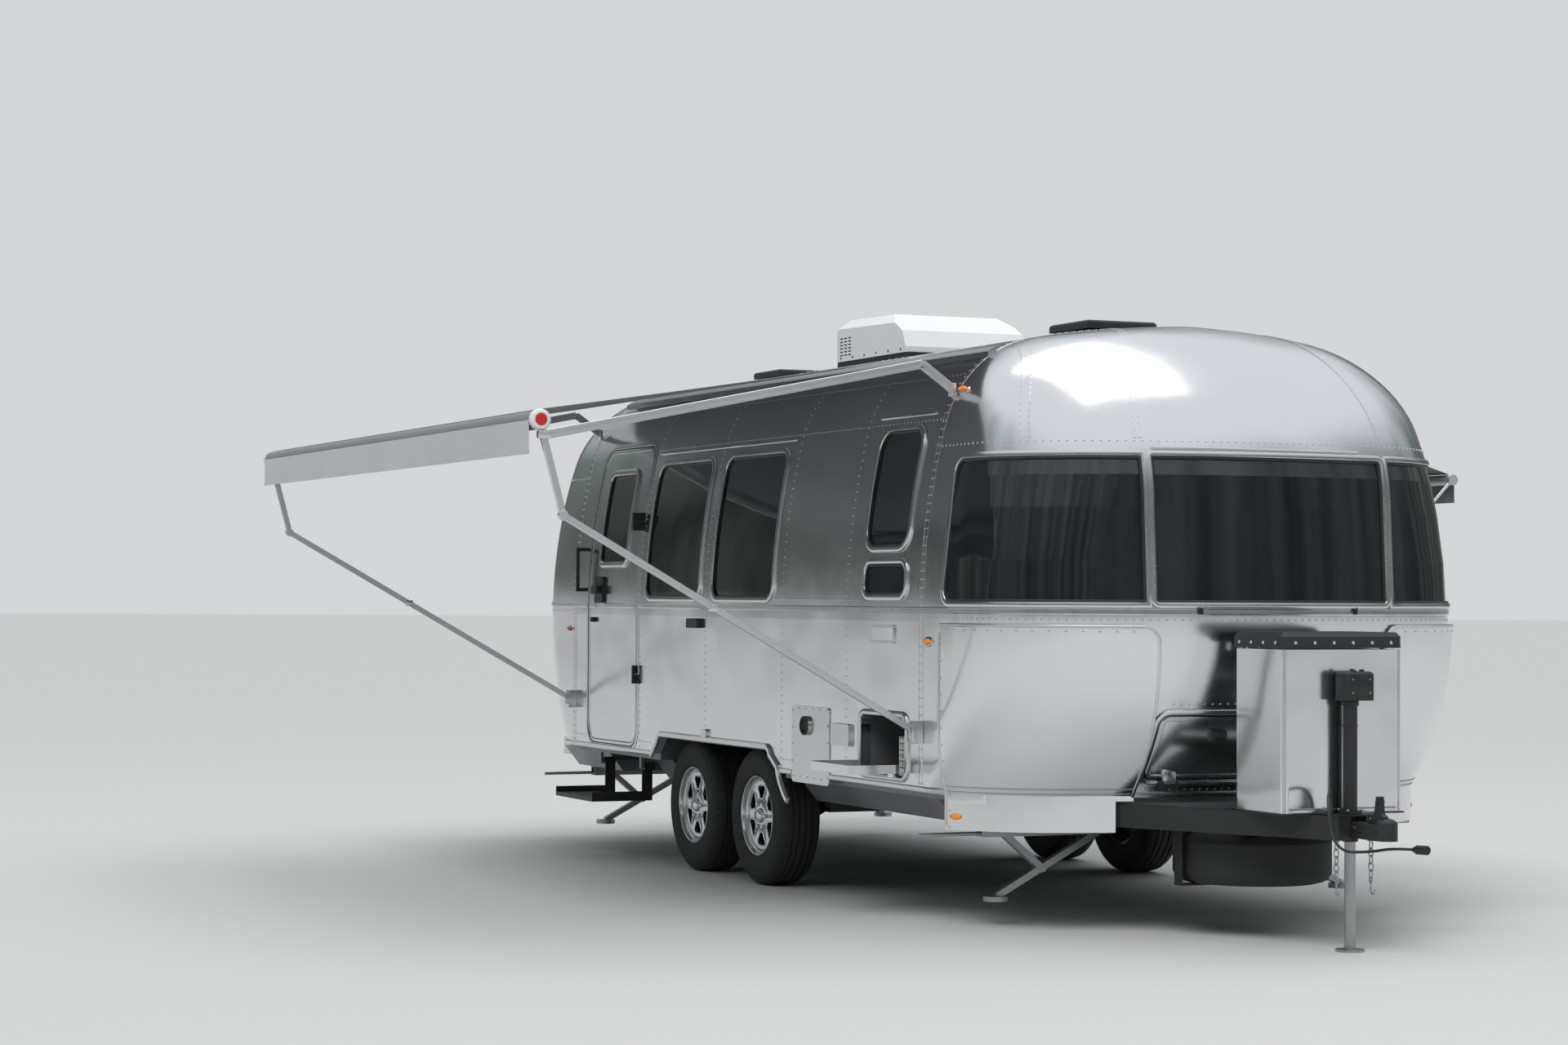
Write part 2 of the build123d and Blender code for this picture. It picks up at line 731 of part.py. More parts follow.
# Window glass, set into its openings
front_glass = band_shell(FRONT, GLASS_INSET, GLASS_INSET + GLASS)
front_panes = band_prisms(-SEAT_GAP)
rear_glass = band_shell(REAR, GLASS_INSET, GLASS_INSET + GLASS)
rear_pane = tail_prism(-SEAT_GAP)
side_panes = [wall_patch(window, -SEAT_GAP, GLASS_INSET, GLASS_INSET + GLASS) for window in WINDOWS]
with BuildPart() as nose_panes:
    add(front_glass)
    add(front_panes, mode=Mode.INTERSECT)
with BuildPart() as tail_panes:
    add(rear_glass)
    add(rear_pane, mode=Mode.INTERSECT)
with BuildPart() as window_glass:
    add(nose_panes.part)
    add(tail_panes.part)
    for pane in side_panes:
        add(pane)
save(window_glass, "window_glass")

# Window frames, proud of the skin
front_frame = band_shell(FRONT, -FRAME_PROUD, -SEAT_GAP)
front_outline = band_prisms(FRAME_WIDTH)
rear_frame = band_shell(REAR, -FRAME_PROUD, -SEAT_GAP)
rear_outline = tail_prism(FRAME_WIDTH)
side_frames = [window_ring(window) for window in WINDOWS]
with BuildPart() as nose_frames:
    add(front_frame)
    add(front_outline, mode=Mode.INTERSECT)
    add(front_openings, mode=Mode.SUBTRACT)
with BuildPart() as tail_frames:
    add(rear_frame)
    add(rear_outline, mode=Mode.INTERSECT)
    add(rear_opening, mode=Mode.SUBTRACT)
with BuildPart() as window_frames:
    add(nose_frames.part)
    add(tail_frames.part)
    for frame in side_frames:
        add(frame)
save(window_frames, "window_frames")


def body_ring(outer, inner, x0, x1, z0, z1):
    """Band of the body's sides between two insets, two stations and two heights."""
    with BuildPart() as ring:
        with BuildSketch(Plane.YZ.offset(x0)):
            draw_section(outer, SKIRT - REVEAL)
            draw_section(inner, SKIRT - 2 * REVEAL, mode=Mode.SUBTRACT)
            with Locations((0, up((z0 + z1) / 2))):
                Rectangle(3 * HALF_WIDTH, z1 - z0, mode=Mode.INTERSECT)
        extrude(amount=x1 - x0)
    return ring.part


def moulding(height, width):
    """Moulding right round the body, standing proud of the skin."""
    heights = [height - width / 2, height + width / 2]
    with BuildPart() as strip:
        add(body_ring(-RAIL_PROUD, -SEAT_GAP, REAR_SEAM, FRONT_SEAM, heights[0], heights[1]))
        for cap in (FRONT, REAR):
            add(cap_shell(cap, heights, heights, -RAIL_PROUD, -SEAT_GAP))
    return strip.part


# Belt moulding and bottom moulding, stopped at the door, the vent and the wheel arches
belt_moulding = moulding(BELT + 2.0, BELT_WIDTH)
bottom_moulding = moulding(SKIRT, BOTTOM_WIDTH)
with BuildPart() as body_rails:
    add(belt_moulding)
    add(bottom_moulding)
    clear = 2 * MOVING_GAP
    outside = (-HALF_WIDTH - 50.0, -HALF_WIDTH + 5.0)
    block((DOOR_REAR - clear, DOOR_FRONT + clear), outside, (SKIRT + 14.0, DOOR_HEAD), Mode.SUBTRACT)
    block((VENT_REAR - SEAT_GAP, VENT_FRONT + SEAT_GAP), outside, (SKIRT - 50.0, SKIRT + 50.0), Mode.SUBTRACT)
    for side in (CURB, STREET):
        y = sorted((side * (HALF_WIDTH - 5.0), side * (HALF_WIDTH + 50.0)))
        block((ARCH_REAR - 20.0, ARCH_FRONT + 20.0), y, (SKIRT - 50.0, SKIRT + 50.0), Mode.SUBTRACT)
save(body_rails, "body_rails")

# Underfloor: floor slab, belly pan waisted between the wheels, and a well over each pair of wheels
with BuildPart() as underfloor:
    block(
        (REAR_SEAM, FRONT_SEAM),
        (WALL + SEAT_GAP - HALF_WIDTH, HALF_WIDTH - WALL - SEAT_GAP),
        (FLOOR_FOOT, FLOOR_TOP),
    )
    for cap in (FRONT, REAR):
        with BuildSketch(Plane.XY.offset(up(FLOOR_FOOT))) as footing:
            draw_plan(cap, SKIRT, WALL + SEAT_GAP)
        extrude(footing.sketch, amount=FLOOR_TOP - FLOOR_FOOT)
    with BuildSketch(Plane.YZ.offset(PAN_REAR)) as pan:
        with BuildLine():
            Polyline(
                (-PAN_HALF, up(FLOOR_FOOT)),
                (PAN_TAPER - PAN_HALF, up(PAN_FOOT)),
                (PAN_HALF - PAN_TAPER, up(PAN_FOOT)),
                (PAN_HALF, up(FLOOR_FOOT)),
                close=True,
            )
        make_face()
    extrude(pan.sketch, amount=PAN_FRONT - PAN_REAR)
    for side in (CURB, STREET):
        waist = sorted((side * PAN_WAIST, side * HALF_WIDTH))
        well = sorted((side * (WELL_INNER - WELL_SHEET), side * (HALF_WIDTH - WALL - SEAT_GAP)))
        hollow = sorted((side * WELL_INNER, side * HALF_WIDTH))
        ends = (ARCH_REAR - WELL_SHEET, ARCH_FRONT + WELL_SHEET)
        block(ends, waist, (PAN_FOOT - REVEAL, FLOOR_FOOT), Mode.SUBTRACT)
        block(ends, well, (FLOOR_FOOT, WELL_TOP + WELL_SHEET))
        block((ARCH_REAR, ARCH_FRONT), hollow, (FLOOR_FOOT - REVEAL, WELL_TOP), Mode.SUBTRACT)
    block(STEP_POCKET_X, STEP_POCKET_Y, (PAN_FOOT - REVEAL, FLOOR_FOOT), Mode.SUBTRACT)
    for x in STEP_SLIDES:
        rod(
            (x, STEP_POCKET_Y[1], STEP_SLIDE_HEIGHT),
            (x, STEP_SLIDE_END, STEP_SLIDE_HEIGHT),
            STEP_SLIDE_RADIUS,
        )
        hanger = (STEP_SLIDE_END - 15.0, STEP_SLIDE_END)
        block((x - 14.0, x + 14.0), hanger, (STEP_SLIDE_HEIGHT - 14.0, FLOOR_FOOT))
save(underfloor, "underfloor")

# Entry step, out for use: tread hung from two sleeves on the slides
with BuildPart() as entry_step:
    tread_front = STEP_SLIDE_END - 60.0 - STEP_TREAD
    block(
        (STEP_SLIDES[0] + 30.0, STEP_SLIDES[1] - 30.0),
        (tread_front, tread_front + STEP_TREAD),
        (STEP_HEIGHT - 22.0, STEP_HEIGHT),
    )
    for x, way in ((STEP_SLIDES[0], 1), (STEP_SLIDES[1], -1)):
        arm = sorted((x + way * 22.0, x + way * 31.0))
        sleeve = (STEP_SLIDE_END + MOVING_GAP, STEP_SLIDE_END + MOVING_GAP + STEP_SLEEVE)
        block(arm, (tread_front, sleeve[1]), (STEP_HEIGHT - 22.0, STEP_HEIGHT + 30.0))
        block(arm, sleeve, (STEP_HEIGHT, STEP_SLIDE_HEIGHT + 15.0))
        block(
            sorted((x - way * 20.0, x + way * 22.0)),
            sleeve,
            (STEP_SLIDE_HEIGHT - 20.0, STEP_SLIDE_HEIGHT + 20.0),
        )
        rod(
            (x, sleeve[0] - 5.0, STEP_SLIDE_HEIGHT),
            (x, sleeve[1] + 5.0, STEP_SLIDE_HEIGHT),
            STEP_SLIDE_RADIUS + SPINDLE_PLAY,
            Mode.SUBTRACT,
        )
save(entry_step, "entry_step")


def rail_y(x):
    """Distance of an A-frame rail's centre line from the middle."""
    return RAIL_NOSE_Y + RAIL_SLOPE * (RAIL_NOSE_X - x)


# A-frame: two rails meeting at the coupler, cross member, jack plate, gas tray and spare wheel bar
with BuildPart() as a_frame:
    half = RAIL_WIDTH / 2 * sqrt(1 + RAIL_SLOPE**2)
    tail = PAN_FRONT + SEAT_GAP
    for side in (CURB, STREET):
        with BuildSketch(Plane.XY.offset(up(FLOOR_FOOT - RAIL_DEPTH))) as rail:
            with BuildLine():
                Polyline(
                    (RAIL_NOSE_X, side * (RAIL_NOSE_Y - half)),
                    (RAIL_NOSE_X, side * (RAIL_NOSE_Y + half)),
                    (tail, side * (rail_y(tail) + half)),
                    (tail, side * (rail_y(tail) - half)),
                    close=True,
                )
            make_face()
        extrude(rail.sketch, amount=RAIL_DEPTH - SEAT_GAP)
    cross = rail_y(CROSS_X)
    block((CROSS_X - 40.0, CROSS_X), (-cross, cross), (FLOOR_FOOT - RAIL_DEPTH, FLOOR_FOOT - SEAT_GAP))
    spare = rail_y(SPARE_X)
    block((SPARE_X - 25.0, SPARE_X + 25.0), (-spare, spare), (SPARE_TOP + 12.0, SPARE_TOP + 42.0))
    rod((SPARE_X, 0, SPARE_TOP - 20.0), (SPARE_X, 0, SPARE_TOP + 20.0), 14.0)
    with BuildSketch(Plane.XY.offset(up(FLOOR_FOOT - SEAT_GAP))) as plate:
        with Locations(((JACK_X - 10.0), 0)):
            RectangleRounded(JACK_PLATE_LENGTH, JACK_PLATE_WIDTH, 20.0)
        with Locations((JACK_X, 0)):
            Circle(JACK_TUBE_RADIUS + SEAT_GAP, mode=Mode.SUBTRACT)
    extrude(plate.sketch, amount=JACK_PLATE)
    block(
        (COVER_BACK - 10.0, COVER_FRONT + 10.0),
        (-COVER_HALF - 10.0, COVER_HALF + 10.0),
        (FLOOR_FOOT - SEAT_GAP, FLOOR_FOOT + TRAY_SHEET),
    )
save(a_frame, "a_frame")

# Coupler: shell round the ball with its socket open below, and the latch on top
with BuildPart() as coupler:
    with BuildSketch(Plane.XY.offset(-SOCKET_DEPTH)):
        with BuildLine():
            Polyline(
                (COUPLER_BACK, -COUPLER_HALF),
                (0, -SOCKET_RADIUS - 16.0),
                (0, SOCKET_RADIUS + 16.0),
                (COUPLER_BACK, COUPLER_HALF),
                close=True,
            )
        make_face()
        Circle(SOCKET_RADIUS + 16.0)
    extrude(amount=SOCKET_DEPTH + COUPLER_ROOF)
    with BuildSketch(Plane.XY.offset(-SOCKET_DEPTH)):
        Circle(SOCKET_RADIUS)
    extrude(amount=SOCKET_DEPTH + 12.0, mode=Mode.SUBTRACT)
    with BuildSketch(Plane.XZ.offset(-COUPLER_LATCH / 2)) as latch:
        with BuildLine():
            Polyline(
                (-110.0, COUPLER_ROOF - 2.0),
                (-10.0, COUPLER_ROOF - 2.0),
                (-4.0, COUPLER_ROOF + 30.0),
                (-30.0, COUPLER_ROOF + 45.0),
                (-36.0, COUPLER_ROOF + 112.0),
                (-56.0, COUPLER_ROOF + 112.0),
                (-70.0, COUPLER_ROOF + 40.0),
                (-110.0, COUPLER_ROOF + 30.0),
                close=True,
            )
        make_face()
    extrude(latch.sketch, amount=COUPLER_LATCH)
save(coupler, "coupler")

# Jack: flanged tube with its drive head, and the leg that slides in it
with BuildPart() as jack_body:
    rod((JACK_X, 0, JACK_TUBE_FOOT), (JACK_X, 0, JACK_TUBE_TOP), JACK_TUBE_RADIUS)
    flange = FLOOR_FOOT - SEAT_GAP + JACK_PLATE
    rod((JACK_X, 0, flange + SEAT_GAP), (JACK_X, 0, flange + 12.0), JACK_TUBE_RADIUS + 18.0)
    with BuildSketch(Plane.XY.offset(up(JACK_TUBE_TOP))) as head:
        with Locations((JACK_X, JACK_HEAD_SHIFT)):
            RectangleRounded(JACK_HEAD_LENGTH, JACK_HEAD_WIDTH, 30.0)
    extrude(head.sketch, amount=JACK_HEAD_TOP - JACK_TUBE_TOP)
    fillet(jack_body.faces().sort_by(Axis.Z)[-1].edges(), 18.0)
    rod(
        (JACK_X, 0, JACK_TUBE_FOOT - REVEAL),
        (JACK_X, 0, JACK_TUBE_TOP - 4.0),
        JACK_LEG_RADIUS + SPINDLE_PLAY,
        Mode.SUBTRACT,
    )
save(jack_body, "jack_body")

with BuildPart() as jack_leg:
    rod((JACK_X, 0, 0.0), (JACK_X, 0, JACK_TUBE_FOOT + JACK_TOP_LAP), JACK_LEG_RADIUS)
    rod((JACK_X, 0, 0.0), (JACK_X, 0, JACK_FOOT_SHEET), JACK_FOOT_RADIUS)
save(jack_leg, "jack_leg")


# Gas cover and its lid, with two bottles inside
with BuildPart() as gas_cover:
    centre = ((COVER_BACK + COVER_FRONT) / 2, 0)
    length = COVER_FRONT - COVER_BACK
    with BuildSketch(Plane.XY.offset(up(FLOOR_FOOT + TRAY_SHEET + SEAT_GAP))) as walls:
        with Locations(centre):
            RectangleRounded(length, 2 * COVER_HALF, COVER_CORNER)
            RectangleRounded(
                length - 2 * COVER_SHEET,
                2 * (COVER_HALF - COVER_SHEET),
                COVER_CORNER - COVER_SHEET,
                mode=Mode.SUBTRACT,
            )
    extrude(walls.sketch, amount=COVER_TOP - FLOOR_FOOT - TRAY_SHEET - SEAT_GAP)
    for y in LID_HINGES:
        for way in (-1, 1):
            ear = sorted((y + way * (LID_BARREL / 2 + 2.0), y + way * (LID_BARREL / 2 + 8.0)))
            block((LID_AXIS_X - 7.0, LID_AXIS_X + 7.0), ear, (COVER_TOP - 40.0, LID_AXIS_Z + 7.0))
            block((LID_AXIS_X, COVER_BACK + 2.0), ear, (COVER_TOP - 40.0, COVER_TOP - 4.0))
        rod(
            (LID_AXIS_X, y - LID_BARREL / 2 - 8.0, LID_AXIS_Z),
            (LID_AXIS_X, y + LID_BARREL / 2 + 8.0, LID_AXIS_Z),
            PIN_RADIUS,
        )
save(gas_cover, "gas_cover")

with BuildPart() as gas_lid:
    with BuildSketch(Plane.XY.offset(up(LID_SKIRT))) as lid_plan:
        with Locations(centre):
            RectangleRounded(length + 2 * LID_LIP, 2 * (COVER_HALF + LID_LIP), COVER_CORNER + LID_LIP)
    extrude(lid_plan.sketch, amount=LID_TOP - LID_SKIRT)
    chamfer(gas_lid.faces().sort_by(Axis.Z)[-1].edges(), LID_BEVEL)
    with BuildSketch(Plane.XY.offset(up(LID_SKIRT))) as lid_hollow:
        with Locations(centre):
            RectangleRounded(length, 2 * COVER_HALF, COVER_CORNER)
    extrude(lid_hollow.sketch, amount=LID_TOP - LID_SKIRT - 20.0, mode=Mode.SUBTRACT)
    for y in LID_HINGES:
        reach = COVER_BACK - LID_LIP + 3.0
        barrel = (y - LID_BARREL / 2, y + LID_BARREL / 2)
        block((LID_AXIS_X - 2.0, reach), barrel, (LID_AXIS_Z, LID_AXIS_Z + 7.0))
        rod((LID_AXIS_X, barrel[0], LID_AXIS_Z), (LID_AXIS_X, barrel[1], LID_AXIS_Z), 7.0)
        rod(
            (LID_AXIS_X, y - LID_BARREL, LID_AXIS_Z),
            (LID_AXIS_X, y + LID_BARREL, LID_AXIS_Z),
            PIN_RADIUS + SPINDLE_PLAY,
            Mode.SUBTRACT,
        )
save(gas_lid, "gas_lid")

with BuildPart() as gas_bottles:
    for side in (CURB, STREET):
        x, y = centre[0], side * (BOTTLE_RADIUS + 6.0)
        foot = FLOOR_FOOT + TRAY_SHEET + SEAT_GAP
        rod((x, y, foot), (x, y, BOTTLE_SHOULDER), BOTTLE_RADIUS)
        rod((x, y, BOTTLE_SHOULDER), (x, y, BOTTLE_TOP), BOTTLE_RADIUS * 0.62)
save(gas_bottles, "gas_bottles")


def tyre_section(radius):
    """Closed section of a tyre, as distance across from its outer sidewall and radius."""
    half = [(inset, RIM_RADIUS + share * (radius - RIM_RADIUS)) for inset, share in TYRE_SECTION]
    return half + [(TYRE_WIDTH - across, height) for across, height in reversed(half)]


def tyre(x, side):
    """Road tyre round its axle."""
    hub = up(AXLE_HEIGHT)
    with BuildSketch(Plane.YZ.offset(x)) as profile:
        with BuildLine():
            section = tyre_section(TYRE_RADIUS)
            Polyline(
                *[(side * (TYRE_FACE - across), hub + height) for across, height in section],
                close=True,
            )
        make_face()
    revolve(profile.sketch, axis=Axis((x, 0, hub), (0, 1, 0)))


def rim(x, side):
    """Rim with its spoked disc and hub, bored for the spindle."""

    def ring(y0, y1, outer, inner, mode=Mode.ADD):
        ends = sorted((side * y0, side * y1))
        with BuildSketch(Plane.XZ.offset(-ends[0])) as circle:
            with Locations((x, up(AXLE_HEIGHT))):
                Circle(outer)
                if inner:
                    Circle(inner, mode=Mode.SUBTRACT)
        extrude(circle.sketch, amount=ends[0] - ends[1], mode=mode)

    back = TYRE_FACE - TYRE_WIDTH + RIM_SET
    ring(back, TYRE_FACE - RIM_SET, RIM_RADIUS - SEAT_GAP, RIM_RADIUS - RIM_SHEET)
    ring(DISC_INNER, DISC_OUTER, RIM_RADIUS - RIM_SHEET / 2, 0.0)
    ring(back + 20.0, HUB_FACE, HUB_RADIUS, 0.0)
    y0, y1 = sorted((side * (DISC_INNER - 10.0), side * (DISC_OUTER + 10.0)))
    (inner, inner_half), (outer, outer_half) = SPOKE_WINDOW
    for spoke in range(SPOKES):
        spin = 2 * pi * spoke / SPOKES
        corners = ((inner, -inner_half), (outer, -outer_half), (outer, outer_half), (inner, inner_half))
        with BuildSketch(Plane.XZ.offset(-y0)) as window:
            with BuildLine():
                Polyline(
                    *[
                        (
                            x + along * cos(spin) - across * sin(spin),
                            up(AXLE_HEIGHT) + along * sin(spin) + across * cos(spin),
                        )
                        for along, across in corners
                    ],
                    close=True,
                )
            make_face()
            fillet(window.vertices(), SPOKE_CORNER)
        extrude(window.sketch, amount=y0 - y1, mode=Mode.SUBTRACT)
    ring(back, TYRE_FACE, SPINDLE_RADIUS + SPINDLE_PLAY, 0.0, Mode.SUBTRACT)


WHEELS = (
    ("curb_front", WHEEL_FRONT, CURB),
    ("curb_rear", WHEEL_REAR, CURB),
    ("street_front", WHEEL_FRONT, STREET),
    ("street_rear", WHEEL_REAR, STREET),
)
for place, x, side in WHEELS:
    with BuildPart() as wheel_tyre:
        tyre(x, side)
    save(wheel_tyre, f"tyre_{place}")
    with BuildPart() as wheel_rim:
        rim(x, side)
    save(wheel_rim, f"rim_{place}")

# Axles: square tubes under the pan, trailing arms and spindles
with BuildPart() as axles:
    for x in (WHEEL_FRONT, WHEEL_REAR):
        beam = x + ARM_TRAIL
        tube = (32.0 - PAN_WAIST, PAN_WAIST - 32.0)
        block((beam - 38.0, beam + 38.0), tube, (PAN_FOOT - 76.0, PAN_FOOT - SEAT_GAP))
        for side in (CURB, STREET):
            arm = sorted((side * (PAN_WAIST - 32.0), side * (PAN_WAIST - 6.0)))
            with BuildSketch(Plane.XZ.offset(-arm[0])) as trailing:
                with BuildLine() as line:
                    Line((beam, up(PAN_FOOT - 38.0)), (x, up(AXLE_HEIGHT)))
                trace(line.line, line_width=64.0)
                with Locations((beam, up(PAN_FOOT - 38.0)), (x, up(AXLE_HEIGHT))):
                    Circle(36.0)
            extrude(trailing.sketch, amount=arm[0] - arm[1])
            rod(
                (x, side * (PAN_WAIST - 6.0), AXLE_HEIGHT),
                (x, side * SPINDLE_END, AXLE_HEIGHT),
                SPINDLE_RADIUS,
            )
            rod(
                (x, side * (PAN_WAIST - 6.0), AXLE_HEIGHT),
                (x, side * (TYRE_FACE - TYRE_WIDTH + RIM_SET + 20.0 - SEAT_GAP * 3), AXLE_HEIGHT),
                SPINDLE_RADIUS + 22.0,
            )
save(axles, "axles")


def pierced_barrel(start, end, radius):
    """Hinge barrel bored for its pin."""
    rod(start, end, radius)
    rod(start, end, PIN_RADIUS + SPINDLE_PLAY, Mode.SUBTRACT)


# Spare wheel, flat under the A-frame on a strap
with BuildPart() as spare_wheel:
    with BuildSketch(Plane.XZ) as spare_profile:
        with BuildLine():
            section = tyre_section(SPARE_RADIUS)
            Polyline(
                *[(SPARE_X + height, up(SPARE_TOP - across)) for across, height in section],
                close=True,
            )
        make_face()
    revolve(spare_profile.sketch, axis=Axis((SPARE_X, 0, 0), (0, 0, 1)))
    rod((SPARE_X, 0, SPARE_TOP - 60.0), (SPARE_X, 0, SPARE_TOP - 48.0), RIM_RADIUS + 2.0)
    rod((SPARE_X, 0, SPARE_TOP - 70.0), (SPARE_X, 0, SPARE_TOP - 12.0), HUB_RADIUS)
    rod((SPARE_X, 0, SPARE_TOP - 21.0), (SPARE_X, 0, SPARE_TOP), SPARE_BOLT + SEAT_GAP, Mode.SUBTRACT)
    strap = SPARE_TOP - TYRE_WIDTH
    block((SPARE_X - 30.0, SPARE_X + 30.0), (-STRAP_HALF, STRAP_HALF), (strap - 8.0, strap))
    block((SPARE_X - 45.0, SPARE_X + 45.0), (-45.0, 45.0), (strap - 8.0, SPARE_TOP - 60.0))
    for side in (CURB, STREET):
        hanger = sorted((side * (STRAP_HALF - 8.0), side * STRAP_HALF))
        block((SPARE_X - 30.0, SPARE_X + 30.0), hanger, (strap - 8.0, SPARE_TOP + 12.0 - SEAT_GAP))
save(spare_wheel, "spare_wheel")

# Stone guards over the front corners, cut round the A-frame rails
guard_sheet = cap_shell(FRONT, lower_heights(), lower_heights(), -GUARD_STAND - GUARD_SHEET, -GUARD_STAND)
with BuildPart() as guard_flap:
    with BuildSketch(Plane.XY.offset(up(GUARD_FOOT))) as flap:
        draw_plan(FRONT, SKIRT, -GUARD_STAND - GUARD_SHEET)
        draw_plan(FRONT, SKIRT, -GUARD_STAND, mode=Mode.SUBTRACT)
    extrude(flap.sketch, amount=SKIRT - GUARD_FOOT)
with BuildPart() as guard_outline:
    for side in (CURB, STREET):
        with BuildSketch(Plane.YZ.offset(GUARD_BACK)) as front_view:
            with BuildLine():
                FilletPolyline(
                    (side * 2 * HALF_WIDTH, up(GUARD_HEAD)),
                    (side * GUARD_INNER_HEAD, up(GUARD_HEAD)),
                    (side * GUARD_INNER_FOOT, up(GUARD_FOOT)),
                    (side * 2 * HALF_WIDTH, up(GUARD_FOOT)),
                    radius=GUARD_CORNER,
                )
                Line((side * 2 * HALF_WIDTH, up(GUARD_FOOT)), (side * 2 * HALF_WIDTH, up(GUARD_HEAD)))
            make_face()
        extrude(front_view.sketch, amount=-GUARD_BACK)
with BuildPart() as stone_guards:
    add(guard_sheet)
    add(guard_flap.part)
    add(guard_outline.part, mode=Mode.INTERSECT)
    for side in (CURB, STREET):
        notch = rail_y(FRONT_SEAM + FRONT.reach - FRONT.tuck)
        y = sorted((side * (notch - 75.0), side * (notch + 75.0)))
        block((GUARD_BACK + 200.0, -900.0), y, (GUARD_FOOT - REVEAL, FLOOR_FOOT + 12.0), Mode.SUBTRACT)
    for side in (CURB, STREET):
        for height in (GUARD_HEAD - 60.0, SKIRT + 60.0):
            y = sorted((side * (HALF_WIDTH + SEAT_GAP), side * (HALF_WIDTH + GUARD_STAND + 2.0)))
            block((GUARD_BACK + 10.0, GUARD_BACK + 40.0), y, (height, height + 40.0))
save(stone_guards, "stone_guards")

# Front hatch, hinged outside the skin along its lower edge
front_skin = cap_block(FRONT, lower_heights(), -SEAT_GAP)
with BuildPart() as front_hatch:
    add(front_lower)
    add(hatch_outline.part, mode=Mode.INTERSECT)
    for side in (CURB, STREET):
        y = side * HATCH_HINGE_Y
        ends = (y - HATCH_BARREL / 2, y + HATCH_BARREL / 2)
        block((HATCH_WEB_X, HATCH_AXIS_X), ends, (HATCH_AXIS_Z, HATCH_AXIS_Z + HATCH_WEB_RISE))
        pierced_barrel((HATCH_AXIS_X, ends[0], HATCH_AXIS_Z), (HATCH_AXIS_X, ends[1], HATCH_AXIS_Z), 8.0)
    with BuildSketch(Plane.YZ.offset(HATCH_LATCH_X)) as latch_plate:
        with Locations((HATCH_LATCH_Y, up(HATCH_LATCH_HEIGHT))):
            RectangleRounded(76.0, 44.0, 12.0)
    extrude(latch_plate.sketch, amount=-60.0)
save(front_hatch, "front_hatch")

# Ears and pins of the front hatch, fixed to the sill
with BuildPart() as hatch_ears:
    for side in (CURB, STREET):
        y = side * HATCH_HINGE_Y
        for way in (-1, 1):
            ear = sorted((y + way * (HATCH_BARREL / 2 + 2.0), y + way * (HATCH_BARREL / 2 + 8.0)))
            block((HATCH_EAR_X, HATCH_AXIS_X + 8.0), ear, (HATCH_AXIS_Z - 30.0, HATCH_AXIS_Z + 8.0))
        rod(
            (HATCH_AXIS_X, y - HATCH_BARREL / 2 - 8.0, HATCH_AXIS_Z),
            (HATCH_AXIS_X, y + HATCH_BARREL / 2 + 8.0, HATCH_AXIS_Z),
            PIN_RADIUS,
        )
    add(front_skin, mode=Mode.SUBTRACT)


# Locker door, standing open level on its lower hinge
with BuildPart() as curb_hatch:
    with BuildSketch(Plane.XY.offset(up(LOCKER_AXIS_Z) + LOCKER_SET)) as leaf:
        width = LOCKER.x1 - LOCKER.x0 - 2 * MOVING_GAP
        with Locations(((LOCKER.x0 + LOCKER.x1) / 2, LOCKER_AXIS_Y - LOCKER_RISE - LOCKER_LENGTH / 2)):
            RectangleRounded(width, LOCKER_LENGTH, LOCKER.corner - MOVING_GAP)
    extrude(leaf.sketch, amount=LOCKER_LEAF)
    for x in LOCKER_HINGES:
        ends = (x - 25.0, x + 25.0)
        block(
            ends,
            (LOCKER_AXIS_Y - LOCKER_RISE - 20.0, LOCKER_AXIS_Y),
            (LOCKER_AXIS_Z - 5.0, LOCKER_AXIS_Z + 5.0),
        )
        block(
            ends,
            (LOCKER_AXIS_Y - LOCKER_RISE - 20.0, LOCKER_AXIS_Y - LOCKER_RISE - 8.0),
            (LOCKER_AXIS_Z - 5.0, LOCKER_AXIS_Z + LOCKER_SET + 2.0),
        )
        pierced_barrel((ends[0], LOCKER_AXIS_Y, LOCKER_AXIS_Z), (ends[1], LOCKER_AXIS_Y, LOCKER_AXIS_Z), 5.0)
save(curb_hatch, "curb_hatch")

# Locker tub behind its opening
with BuildPart() as locker_tub:
    inner = (LOCKER.x0, LOCKER.x1)
    back = WALL + SEAT_GAP - HALF_WIDTH
    floor = FLOOR_TOP + SEAT_GAP + TUB_SHEET
    block(
        (inner[0] - TUB_SHEET, inner[1] + TUB_SHEET),
        (back, back + TUB_DEPTH),
        (floor - TUB_SHEET, LOCKER.z1 + TUB_SHEET),
    )
    block(inner, (back - 1.0, back + TUB_DEPTH - TUB_SHEET), (floor, LOCKER.z1), Mode.SUBTRACT)
save(locker_tub, "locker_tub")

# Power unit standing in the locker
with BuildPart() as power_unit:
    block(UNIT_X, (UNIT_FACE, UNIT_FACE + UNIT_DEPTH), (floor + SEAT_GAP, floor + UNIT_RISE))
    for step in range(UNIT_SLOTS):
        height = floor + 30.0 + step * 16.0
        block(
            (UNIT_X[0] + 20.0, UNIT_X[1] - 20.0),
            (UNIT_FACE - 1.0, UNIT_FACE + 8.0),
            (height, height + 7.0),
            Mode.SUBTRACT,
        )
save(power_unit, "power_unit")

